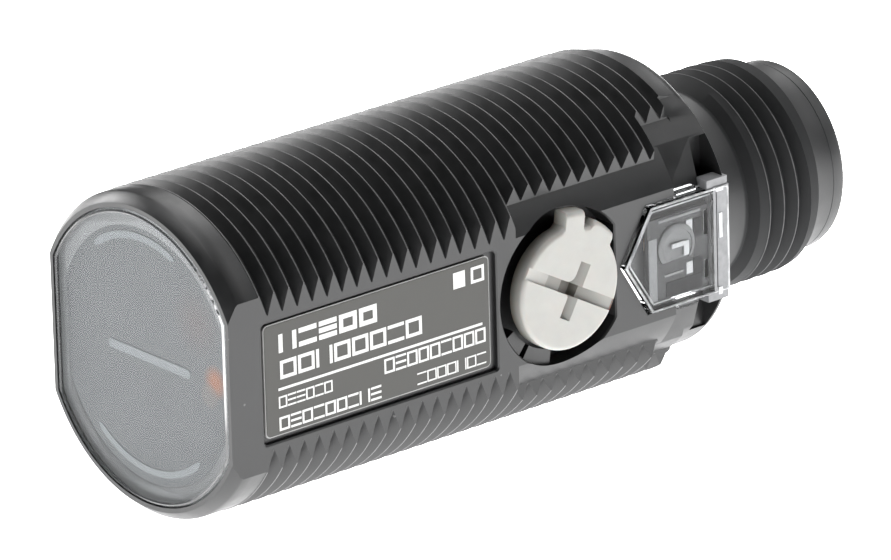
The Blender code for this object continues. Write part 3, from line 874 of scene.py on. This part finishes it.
def arc_band(outer, inner, start, stop, steps=40):
    """A curved strip with rounded ends, as (y, z) points; angles from the top towards -Y."""
    middle, half = (outer + inner) / 2, (outer - inner) / 2

    def spot(r, t):
        return (-r * sin(radians(t)), r * cos(radians(t)))
    taper = degrees(half / middle) * 4
    turns = [start + (stop - start) * i / steps for i in range(steps + 1)]
    near_end = [max(0.0, 1 - min(t - start, stop - t) / taper) for t in turns]
    widths = [half * min(1.0, sqrt(max(0.0, 1 - e ** 2)) + 0.05) for e in near_end]
    above = [spot(middle + w, t) for w, t in zip(widths, turns)]
    below = [spot(middle - w, t) for w, t in zip(widths, turns)]
    return above + below[::-1]


# %% Painted edge highlight
def painted_edge_glint_finish():
    """A painted highlight along the plate's edge: bright on the label's side and higher up, broken into
    specks.
    """
    material, tree, shader = new_finish("cover_edge_glint_paint", Roughness=0.2)
    across, height = split_place(tree)[1:3]
    side = ramp(tree, across, -4.5 * MM, -6.9 * MM)
    broken = ramp(tree, noise(tree, 5200.0, 2.0), 0.42, 0.56)
    solid = ramp(tree, across, -6.7 * MM, -6.8 * MM)
    upper = ramp(tree, height, -2.4 * MM, 0.5 * MM, 0.12, 1.0)
    lit = math_node(tree, "MULTIPLY", side, math_node(tree, "MAXIMUM", broken, solid))
    lit = math_node(tree, "MULTIPLY", lit, upper)
    # painted highlight: from dark to white on the lit side, brighter towards the top, broken into specks
    painted_glint_colour = mix_colour(tree, lit, (0.05, 0.052, 0.054), (0.95, 0.95, 0.95))
    tree.links.new(painted_glint_colour, shader.inputs["Base Color"])
    return material


def make_edge_glint_line():
    """A thin raised line that follows the plate's edge and carries the painted highlight."""
    inner, middle, outer = [clipped_circle(COVER_R - inset, COVER_HALF - inset)
                            for inset in (0.28, 0.185, 0.09)]
    rings = [ring_at("X", 0.02, inner), ring_at("X", -0.03, middle), ring_at("X", 0.02, outer),
             ring_at("X", 0.08, middle)]
    return skin("cover_edge_glint_line", rings, closed=True)


# %% Cover pieces
def make_cover():
    film_edge = clipped_circle(FILM_R, FILM_HALF, 0.9)
    rim = prism("cover_rim", clipped_circle(COVER_R, COVER_HALF), "X", PLATE_BACK + 0.03, COVER_BACK)
    carve(rim, prism("opening", film_edge, "X", 0, 3))
    film = prism("cover_film", clipped_circle(FILM_R - 0.01, FILM_HALF - 0.01, 0.9), "X",
                 PLATE_BACK + 0.05, COVER_BACK - 0.02)
    start, end = PLATE_BACK + 0.015, PLATE_BACK + 0.05
    # painted reflections of the lens rims and of the partition, as thin pale solids
    top = prism("lens_rim_reflection_upper", arc_band(6.76, 6.36, -38, 24), "X", start, end)
    bottom = prism("lens_rim_reflection_lower", arc_band(6.58, 6.2, 138, 221), "X", start, end)
    bar = rounded([(-3.7, -0.27), (3.1, -0.27), (3.1, 0.23), (-3.7, 0.23)], 0.24)
    bar = prism("partition_glint", bar, "X", start, end)
    place(make_edge_glint_line(), painted_edge_glint_finish())
    place(make_cover_plate(), COVER_CLEAR, replaces=("lens_cover",))
    place(rim, COVER_RIM, replaces=("lens_cover",))
    place(film, COVER_FILM, replaces=("lens_cover",))
    for glint in (top, bottom, bar):
        place(glint, LENS_GLINT)


make_cover()

# %% [markdown]
# ## The adjuster
# The adjuster is turned with a small screwdriver. It is an ivory disc with a pointer tab and a stop
# lug on its edge, one long slot with a stepped floor, and two short cross arms whose floor slopes up
# to the face on one side. The slots could be painted dark alone, but a screwdriver slot is read by
# the light on its floor, so they are cut; the finish also paints shade into them, darker with depth.
# It rides on the body `adjuster` and turns with the joint.

# %% Adjuster outline
KNOB_R = 3.38
TAB_R, TAB_ANGLE = 4.3, 83.0
LUG_R, LUG_ANGLES = 3.9, (35.0, 62.0)
SLOT_ANGLE, SLOT_HALF = -29.5, 0.33
KNOB_BACK = -6.95


def polar(radius, angle):
    return (KNOB_X + radius * cos(radians(angle)), radius * sin(radians(angle)))


def knob_outline():
    """The disc with its tab and its lug, as (x, z) points; angles from +X towards +Z."""
    tab, half = TAB_ANGLE, 9.0
    lug_start, lug_stop = LUG_ANGLES
    points = [polar(KNOB_R, tab - 13), polar(KNOB_R + 0.1, tab - 11), polar(TAB_R - 0.06, tab - half),
              polar(TAB_R, tab - half + 0.8), polar(TAB_R, tab), polar(TAB_R, tab + half - 0.8),
              polar(TAB_R - 0.06, tab + half), polar(KNOB_R + 0.2, tab + half + 2),
              polar(KNOB_R + 0.03, tab + half + 6)]
    points += arc((KNOB_X, 0), KNOB_R, tab + half + 9, 360 + lug_start - 4, 76)
    points += [polar(KNOB_R + 0.1, lug_start - 2), polar(LUG_R - 0.12, lug_start)]
    points += arc((KNOB_X, 0), LUG_R, lug_start + 2, lug_stop - 2, 6)
    points += [polar(LUG_R - 0.1, lug_stop), polar(KNOB_R + 0.15, lug_stop + 1.5)]
    return points


print("adjuster outline:", len(knob_outline()), "points")


def shrink(outline, amount):
    factor = 1 - amount / KNOB_R
    return [(KNOB_X + (x - KNOB_X) * factor, z * factor) for x, z in outline]


def turn_about_adjuster(obj, angle):
    centre = Vector((KNOB_X, 0, 0)) * MM
    turn = Matrix.Rotation(radians(-angle), 4, "Y")
    obj.data.transform(Matrix.Translation(centre) @ turn @ Matrix.Translation(-centre))
    return obj


# %% Adjuster slots
def slot_cutter(name, floor, half_width, angle):
    """A slot along X before it is turned: floor is a list of (place along the slot, depth)."""
    top = KNOB_FACE - 2
    section = [(place_x, KNOB_FACE + depth) for place_x, depth in floor]
    outline = [(floor[-1][0], top)] + [(floor[0][0], top)] + section
    rings = [[Vector((KNOB_X + x, y, z)) * MM for x, y in outline] for z in (-half_width, half_width)]
    return turn_about_adjuster(skin(name, rings), angle)


def corner_cutter(name, side, radius, depth):
    """Rounds the corner where the long slot meets the steep side of a cross arm."""
    base = SLOT_HALF * side
    inner, outer = base - 0.05 * side, base + radius * side
    curve = arc((KNOB_X - radius, outer), radius, -90 * side, 0, 8)
    outline = [(KNOB_X + 0.03, inner), (KNOB_X - radius, inner), *curve, (KNOB_X + 0.03, outer)]
    return turn_about_adjuster(prism(name, outline, "Y", KNOB_FACE - 2, KNOB_FACE + depth), SLOT_ANGLE)


# %% Adjuster
# Each step of the long slot's floor is (place along the slot, depth below the face).
LONG_SLOT = [(-3.3, 0.12), (-1.6, 0.3), (-1.55, 0.52), (-0.3, 0.6), (-0.2, 1.0), (0.7, 1.0), (1.0, 0.6),
             (3.3, 0.16)]
CROSS_ARMS = [(0.0, 0.62), (0.74, 0.0)]


def make_knob():
    outline = knob_outline()
    rings = [ring_at("Y", KNOB_FACE + depth, shrink(outline, inset)) for depth, inset in rounded_edge(0.26)]
    rings.append(ring_at("Y", KNOB_BACK, outline))
    knob = skin("sensitivity_knob_fine", rings)
    hub = [(KNOB_BACK - 0.3, 2.5), (-6.1, 2.5), (-6.1, 1.5), (-3.8, 1.5)]
    weld(knob, turned("hub", hub, "Y", (KNOB_X, 0), 48),
         block("blade", (KNOB_X - 1.1, KNOB_X + 1.1), (-4.0, -2.9), (-0.3, 0.3)))
    carve(knob,
          slot_cutter("long_slot", LONG_SLOT, SLOT_HALF, SLOT_ANGLE),
          slot_cutter("cross_arms", CROSS_ARMS, 1.6, SLOT_ANGLE),
          corner_cutter("upper_corner", 1, 0.5, 0.5),
          corner_cutter("lower_corner", -1, 0.2, 0.5))
    return tidy(knob)


# %% Ivory finish
def ivory_plastic():
    """Ivory plastic with painted shade: darker with depth down in the slots and on the side wall."""
    material, tree, shader = new_finish("ivory", Roughness=0.42, Subsurface_Weight=0.15,
                                        Subsurface_Scale=0.3 * MM)
    grain = use_group(tree, GRAIN)
    face = mix_colour(tree, grain.outputs["Mottle"], (0.325, 0.322, 0.304), (0.35, 0.346, 0.326))
    painted_shade_depth = ramp(tree, split_place(tree)[1], (KNOB_FACE + 0.12) * MM, (KNOB_FACE + 1.1) * MM)
    # painted shade: the colour darkens with depth below the face
    tree.links.new(mix_colour(tree, painted_shade_depth, face, (0.075, 0.066, 0.050)), shader.inputs["Base Color"])
    bump(tree, shader, grain.outputs["Height"], 0.1, 0.01)
    return material


IVORY = ivory_plastic()
place(make_knob(), IVORY, body="adjuster", replaces=("sensitivity_knob",))

# %% [markdown]
# ## The indicator window
# Two lamps inside the barrel are seen through a clear cap with an arrow tip. The cap is hollow, so
# its outline shows as two thin bright lines, and a frosted band with two lugs closes its open rear.
# Under it lies a moulded light guide with an arch round its lens. Refraction alone could draw the
# bright lines, the glints and the shade in the guide's openings, but it would need very many
# samples, so slim raised lines and thin plates carry them as painted highlights and painted shade.

# %% Window cap
WINDOW_FACE = -7.7
BAND_X = 32.9
THROUGH = (-9, -5)
print("the window stands", round(-FLAT_Y - WINDOW_FACE, 2), "mm proud of the flat")


def inset_window(amount):
    tip, shoulder = window_low.x - 0.15 + 1.35 * amount, WINDOW_SHOULDER + 0.75 * amount
    half, rear = window_high.z - amount, BARREL_END - 0.06 - amount
    corners = [(tip, 0), (shoulder, -half), (rear, -half), (rear, half), (shoulder, half)]
    return rounded(corners, [0.25, 0.12, 0.12, 0.12, 0.12])


def make_window_cap():
    """A hollow clear cap, open at the rear where the thick band closes it."""
    levels = [(WINDOW_FACE, 0.14), (WINDOW_FACE, 0.08), (WINDOW_FACE + 0.02, 0.03),
              (WINDOW_FACE + 0.08, 0.0), (-6.8, 0.0)]
    cap = skin("window_cap", [ring_at("Y", y, inset_window(grow)) for y, grow in levels])
    carve(cap, prism("hollow", inset_window(0.3), "Y", WINDOW_FACE + 0.4, -6.0),
          block("rear", (BAND_X, 36), THROUGH, (-4, 4)))
    hooks = [block("hook", (30.55, 31.9), (-7.45, -6.95), sorted((2.9 * side, 3.32 * side)))
             for side in (1, -1)]
    return tidy(weld(cap, *hooks))


def outline_glint(name, low, high, y, lift):
    """A slim raised line between two insets of the cap's outline."""
    middle = (low + high) / 2
    rings = [ring_at("Y", y, inset_window(low)), ring_at("Y", y - lift, inset_window(middle)),
             ring_at("Y", y, inset_window(high)), ring_at("Y", y + 0.05, inset_window(middle))]
    return skin(name, rings, closed=True)


# %% Rear band
def make_rear_band():
    """The thick end of the cap with its two lugs; a fine groove runs down its face."""
    end = BARREL_END - 0.08
    half = window_high.z
    band = block("rear_band", (BAND_X + 0.01, end), (WINDOW_FACE + 0.03, -6.8), (-half, half))
    lugs = [block("end_lug", (32.55, end - 0.04), (-7.6, -6.7), sorted((2.9 * side, 3.45 * side)))
            for side in (1, -1)]
    weld(band, *lugs)
    carve(band, block("groove", (33.12, 33.2), (-9, WINDOW_FACE + 0.12), (-2.7, 2.7)))
    return tidy(band)


# %% Light guide
GUIDE_TOP = WINDOW_FACE + 0.6


def make_light_guide():
    return block("light_guide", (28.6, 32.85), (GUIDE_TOP, -6.85), (-2.6, 2.05))


def make_arch():
    """A shallow half dish round the lens, cut off straight at the bottom."""
    wall = [(GUIDE_TOP - 0.16, 1.15), (GUIDE_TOP - 0.1, 1.28), (-6.9, 1.3)]
    hollow = [(-9, 1.0), (GUIDE_TOP - 0.1, 1.0), (GUIDE_TOP - 0.05, 0.8)]
    arch = turned("arch", wall, "Y", (30.55, 0.25), 48)
    carve(arch, block("flat_side", (28, 33), THROUGH, (-2, -0.5)),
          turned("dish", hollow, "Y", (30.6, 0.2), 48))
    return tidy(arch)


def slab_mesh(name, slabs, top, bottom):
    """Thin plates on one level in one mesh, each given as (x0, x1, z0, z1)."""
    bm = bmesh.new()
    for x0, x1, z0, z1 in slabs:
        corners = ((x0, z0), (x1, z0), (x1, z1), (x0, z1))
        low, high = [[bm.verts.new(at("Y", y, x, z)) for x, z in corners] for y in (top, bottom)]
        bm.faces.new(low)
        bm.faces.new(high)
        bridge(bm, low, high)
    return object_from(name, bm)


# %% Window finishes
GUIDE_GLINT = plain_finish("guide_glint", (0.60, 0.61, 0.62), (0.70, 0.71, 0.72), 0.3)
EDGE_GLINT = plain_finish("edge_glint", (0.16, 0.163, 0.168), (0.85, 0.86, 0.87), 0.2, blotch=700.0)
# painted highlight: pale finish for the light lines along the light guide's edges
GUIDE_EDGE_HIGHLIGHT = plain_finish("guide_edge_highlight_paint", (0.20, 0.205, 0.21), (0.26, 0.265, 0.27), 0.35)
# painted shade: near black finish for the shaded openings of the light guide
GUIDE_PAINTED_SHADE = plain_finish("guide_painted_shade_finish", (0.006, 0.006, 0.007), (0.010, 0.010, 0.011), 0.5,
                          Specular_IOR_Level=0.1)
BAND_FROST = plain_finish("band_frost", (0.17, 0.173, 0.18), (0.26, 0.263, 0.27), 0.3, blotch=1500.0)
GUIDE_BODY = plain_finish("guide_body", (0.024, 0.025, 0.026), (0.042, 0.043, 0.045), 0.35, blotch=1800.0,
                          Specular_IOR_Level=0.25)
ARCH_PALE = plain_finish("arch_pale", (0.10, 0.103, 0.106), (0.15, 0.153, 0.156), 0.3, blotch=2500.0)
print("window finishes:", WINDOW_CLEAR.name, BAND_FROST.name, GUIDE_BODY.name, ARCH_PALE.name)

# %% Window pieces
place(make_window_cap(), WINDOW_CLEAR, replaces=("indicator_window",))
outlines = (("outer_glint", 0.03, 0.15, 0.03, 0.035), ("inner_glint", 0.36, 0.44, 0.46, 0.02))
for name, low, high, depth, lift in outlines:
    place(outline_glint(name, low, high, WINDOW_FACE + depth, lift), EDGE_GLINT)
place(make_rear_band(), BAND_FROST)
place(make_light_guide(), GUIDE_BODY, replaces=("indicator_window",))
place(make_arch(), ARCH_PALE)

# %% Painted glints, edge highlights and shade of the light guide
# Each is (name, height above the guide, finish, its plates as (x0, x1, z0, z1)).
PLATE_THICK = 0.05
GUIDE_MARKS = (
    ("guide_glints", 0.0, GUIDE_GLINT, [(31.3, 31.72, 0.85, 1.5), (31.27, 31.7, -1.55, -0.9)]),
    ("wall_glints", 0.15, GUIDE_GLINT, [(32.4, 32.66, 0.45, 1.8), (32.4, 32.66, -2.0, -1.0)]),
    ("lens_glints", 0.14, GUIDE_GLINT, [(30.15, 31.0, 0.2, 0.45), (31.0, 31.35, -0.38, 0.42)]),
    ("band_glints", 0.575, GUIDE_GLINT,
     [(33.3, 33.5, 0.1, 1.5), (33.1, 33.6, 2.75, 2.95), (33.2, 33.45, -3.1, -2.7)]),
    # painted highlight lines along the guide's edges
    ("guide_edge_highlights", 0.0, GUIDE_EDGE_HIGHLIGHT,
     [(29.35, 32.3, 1.8, 1.93), (29.7, 31.05, -1.34, -1.22), (28.65, 29.2, -2.55, 1.0)]),
    # painted shade: dark plates where the guide's openings lie in shade
    ("guide_shade_plates", 0.0, GUIDE_PAINTED_SHADE,
     [(31.8, 32.35, 0.4, 1.45), (31.8, 32.35, -1.65, -0.75), (29.85, 32.35, -2.5, -1.7)]))
for name, height, finish, slabs in GUIDE_MARKS:
    top = GUIDE_TOP - height
    place(slab_mesh(name, slabs, top - PLATE_THICK, top), finish)

# %% [markdown]
# ## The label
# The label is a thin foil plate in a shallow recess, with a pale cut edge under the dark foil. The
# lettering of a real label is not copied: rows of small frames and bars stand in for the words, so
# that the plate has the same texture from a distance and says nothing. Text objects or a picture
# could make the print, but thin raised slabs stay sharp close up and need no font.

# %% Label plate
LABEL_FOIL = plain_finish("label_foil", (0.033, 0.0325, 0.029), (0.040, 0.0392, 0.035), 0.42, metallic=0.2,
                          scale=5000.0, blotch=350.0)
LABEL_EDGE = plain_finish("label_edge", (0.20, 0.20, 0.195), (0.27, 0.27, 0.265), 0.35)
PRINT_WHITE = plain_finish("print_white", (0.60, 0.60, 0.59), (0.66, 0.66, 0.65), 0.5)
LABEL_TOP = -FLAT_Y + 0.03
print("label", round(label_high.x - label_low.x, 2), "x", round(label_high.z - label_low.z, 2), "mm")


def label_plate(name, inset, top, bottom, radius):
    low, high = label_low, label_high
    corners = [(low.x + inset, low.z + inset), (high.x - inset, low.z + inset),
               (high.x - inset, high.z - inset), (low.x + inset, high.z - inset)]
    return prism(name, rounded(corners, radius), "Y", top, bottom)


place(label_plate("label_base", 0.0, LABEL_TOP + 0.03, -FLAT_Y + 0.24, 0.3), LABEL_EDGE,
      replaces=("rating_label",))
place(label_plate("label_foil", 0.07, LABEL_TOP, LABEL_TOP + 0.05, 0.24), LABEL_FOIL,
      replaces=("rating_label",))


# %% Label print
def frame_mark(x0, x1, z0, z1, stroke):
    return [(x0, x1, z0, z0 + stroke), (x0, x1, z1 - stroke, z1),
            (x0, x0 + stroke, z0 + stroke, z1 - stroke), (x1 - stroke, x1, z0 + stroke, z1 - stroke)]


def level_bars(x0, x1, z0, z1, stroke):
    return [(x0, x1, z0, z0 + stroke), (x0, x1, z1 - stroke, z1)]


def upright_bars(x0, x1, z0, z1, stroke):
    return [(x0, x0 + stroke, z0, z1), (x1 - stroke, x1, z0, z1)]


def stacked_bars(x0, x1, z0, z1, stroke):
    middle = (z0 + z1) / 2
    return level_bars(x0, x1, z0, z1, stroke) + [(x0, x1, middle - stroke / 2, middle + stroke / 2)]


def mark_row(xs, zs, count, stroke, rng):
    """A row of unreadable marks, each drawn from a few kinds of bars and frames."""
    gap = 0.6 * stroke
    pitch = (xs[1] - xs[0] + gap) / count
    slabs = []
    for i in range(count):
        kind = rng.choice((frame_mark, level_bars, upright_bars, stacked_bars, frame_mark))
        x0 = xs[0] + pitch * i
        slabs += kind(x0, x0 + pitch - gap, zs[0], zs[1], stroke)
    return slabs


def make_print():
    """Six rows of marks, given as (x range, z range, count, stroke), with a rule, a square and a frame."""
    rng = random.Random(7)
    rows = [((3.3, 9.9), (1.45, 2.47), 5, 0.27), ((3.35, 12.9), (-0.02, 1.0), 8, 0.19),
            ((3.2, 6.8), (-1.6, -0.95), 6, 0.09), ((10.3, 17.2), (-1.6, -0.78), 9, 0.12),
            ((3.2, 10.05), (-2.85, -2.1), 9, 0.12), ((12.5, 17.2), (-2.8, -2.15), 7, 0.08)]
    slabs = [(3.2, 17.0, -0.62, -0.48), (15.1, 15.9, 1.85, 2.75)]
    slabs += frame_mark(16.3, 17.2, 1.85, 2.75, 0.16)
    for xs, zs, count, stroke in rows:
        slabs += mark_row(xs, zs, count, stroke, rng)
    return slab_mesh("label_print", slabs, LABEL_TOP - 0.012, LABEL_TOP + 0.02)


place(make_print(), PRINT_WHITE)

# %% [markdown]
# ## The plug
# The rear plug is an M12 connector with a short external thread, a smooth end, and a bore with
# four gold pins on an insulating carrier. A key inside the bore lets the cable fit in one way only.
# It could be a stack of cylinders, but the same helix function gives it a true thread between two
# turned ends, and the bores are cut out of that one body.

# %% Plug
PLUG_CREST, PLUG_ROOT, NECK_R, PLUG_END_R = plug_high.z, plug_high.z - 0.58, 5.3, 5.27
PLUG_FIRST_CREST, PLUG_GROOVES = 38.2, 3
PLUG_BORE_R, PAST_END = 4.45, 60
LEDGE_START, LEDGE_END = 37.1, 37.6


def plug_profile_ends():
    """The flange with its seal groove and the neck, then the plain end, as (x, radius) points."""
    flange, seal_groove = 6.0, 5.45
    start, end = plug_low.x, plug_high.x
    before = [(start, flange), (start + 0.7, flange), (start + 0.7, seal_groove), (start + 1.6, seal_groove),
              (start + 1.6, flange), (BARREL_END - 0.2, flange), (BARREL_END - 0.05, NECK_R + 0.16),
              (BARREL_END + 0.3, NECK_R), (37.3, NECK_R), (37.45, NECK_R + 0.03), (37.85, PLUG_CREST - 0.16)]
    last, ring_r = PLUG_FIRST_CREST + PLUG_GROOVES * PITCH, PLUG_END_R - 0.025
    after = [(last + 0.82, PLUG_CREST - 0.12), (last + 1.1, PLUG_END_R + 0.03), (last + 1.16, PLUG_END_R),
             (end - 0.9, PLUG_END_R), (end - 0.88, ring_r), (end - 0.85, ring_r), (end - 0.83, PLUG_END_R),
             (end - 0.25, PLUG_END_R), (end - 0.12, PLUG_END_R - 0.05), (end - 0.03, PLUG_END_R - 0.15),
             (end, PLUG_END_R - 0.28)]
    return before, after


def make_plug():
    end = plug_high.x
    body = screw_body("plug", *plug_profile_ends(), thread_profile(PLUG_CREST, PLUG_ROOT),
                      PLUG_FIRST_CREST, PLUG_GROOVES, 128)
    carve(body, turned("front_bore", [(0, PLUG_BORE_R), (LEDGE_START, PLUG_BORE_R)]),
          turned("ledge_bore", [(0, PLUG_BORE_R - 0.6), (PAST_END, PLUG_BORE_R - 0.6)]),
          turned("rear_bore", [(LEDGE_END, PLUG_BORE_R), (end - 0.2, PLUG_BORE_R), (end, PLUG_BORE_R + 0.2),
                               (PAST_END, PLUG_BORE_R + 0.2)]))
    key = rounded([(-0.6, PLUG_BORE_R - 0.7), (0.6, PLUG_BORE_R - 0.7), (0.6, PLUG_BORE_R + 0.3),
                   (-0.6, PLUG_BORE_R + 0.3)], [0.15, 0.15, 0, 0])
    weld(body, prism("key", key, "X", LEDGE_START + 0.1, end - 1.5))
    return tidy(body)


place(make_plug(), PLUG_BLACK, replaces=("connector_body",))

# %% [markdown]
# ## The pieces inside
# The optics, the boards and the wiring stay as the frame has them. They could be remade finer, but
# their shapes are right and the barrel hides them. Each still gets a finish of its own: rubber, clear
# plastic, epoxy, solder mask, ceramic, gold or steel.

# %% Finishes of the inner pieces
RUBBER = plain_finish("rubber", (0.018, 0.018, 0.019), (0.026, 0.026, 0.027), 0.75)
LENS_CLEAR = clear_plastic("lens_clear", (0.97, 0.98, 0.99), (0.94, 0.95, 0.96), 0.03, 1.49)
GREY_WALL = plain_finish("grey_wall", (0.40, 0.42, 0.43), (0.46, 0.48, 0.49), 0.5)
HOLDER_BLACK = plain_finish("holder_black", (0.03, 0.03, 0.032), (0.042, 0.042, 0.044), 0.6)
SOLDER_MASK = plain_finish("solder_mask", (0.012, 0.13, 0.055), (0.02, 0.17, 0.075), 0.4, blotch=1500.0)
EPOXY = plain_finish("epoxy", (0.02, 0.02, 0.021), (0.03, 0.03, 0.031), 0.5)
CERAMIC_TAN = plain_finish("ceramic_tan", (0.44, 0.33, 0.21), (0.52, 0.4, 0.27), 0.45)
RESISTOR = plain_finish("resistor_black", (0.03, 0.03, 0.038), (0.05, 0.05, 0.06), 0.4)
GOLD = plain_finish("gold", (0.80, 0.58, 0.26), (0.88, 0.68, 0.34), 0.25, metallic=1.0)
COPPER = plain_finish("tinned_copper", (0.72, 0.56, 0.38), (0.80, 0.66, 0.48), 0.35, metallic=1.0)
STEEL = plain_finish("steel", (0.58, 0.58, 0.60), (0.68, 0.68, 0.70), 0.3, metallic=1.0)
DEEP_RED = plain_finish("deep_red", (0.45, 0.07, 0.07), (0.55, 0.11, 0.1), 0.15)
PHOTO_DARK = plain_finish("photodiode_dark", (0.05, 0.04, 0.07), (0.07, 0.055, 0.09), 0.15)
TRIM_BLUE = plain_finish("trimmer_blue", (0.035, 0.10, 0.32), (0.05, 0.14, 0.4), 0.4)
TRIM_WHITE = plain_finish("trimmer_white", (0.70, 0.70, 0.66), (0.78, 0.78, 0.74), 0.4)
AMBER = plain_finish("amber_lamp", (0.85, 0.36, 0.07), (0.9, 0.45, 0.12), 0.25)
GREEN_LAMP = plain_finish("green_lamp", (0.12, 0.62, 0.16), (0.18, 0.72, 0.22), 0.25)
CARRIER = plain_finish("carrier_black", (0.022, 0.022, 0.024), (0.032, 0.032, 0.034), 0.45)
print("finishes in all:", len(bpy.data.materials))

# %% Dress the CAD nodes that stay
FINISH_OF = {"lens_seal": RUBBER, "knob_seal": RUBBER, "connector_seal": RUBBER, "emitter_lens": LENS_CLEAR,
             "receiver_lens": LENS_CLEAR, "light_partition": GREY_WALL, "optics_holder": HOLDER_BLACK,
             "optics_board": SOLDER_MASK, "main_board": SOLDER_MASK, "emitter_led": DEEP_RED,
             "receiver_photodiode": PHOTO_DARK, "receiver_shield_can": STEEL, "trimmer_case": TRIM_BLUE,
             "trimmer_rotor": TRIM_WHITE, "operation_led": AMBER, "stability_led": GREEN_LAMP,
             "control_ic": EPOXY, "output_transistor": EPOXY, "protection_diode": EPOXY, "board_link": GOLD,
             "pin_carrier": CARRIER, "chip_capacitor": CERAMIC_TAN, "chip_resistor": RESISTOR,
             "contact_pin": GOLD, "lead_wire": COPPER}

dressed = 0
for name, node in frame["nodes"].items():
    kind = name if name in FINISH_OF else name.rstrip("0123456789").rstrip("_")
    if kind not in FINISH_OF or node.hide_render:
        continue
    if not node.material_slots:
        node.data.materials.append(FINISH_OF[kind])
    for slot in node.material_slots:
        slot.material = FINISH_OF[kind]
    dressed += 1
print("dressed", dressed, "CAD nodes; replaced", sum(n.hide_render for n in frame["nodes"].values()))
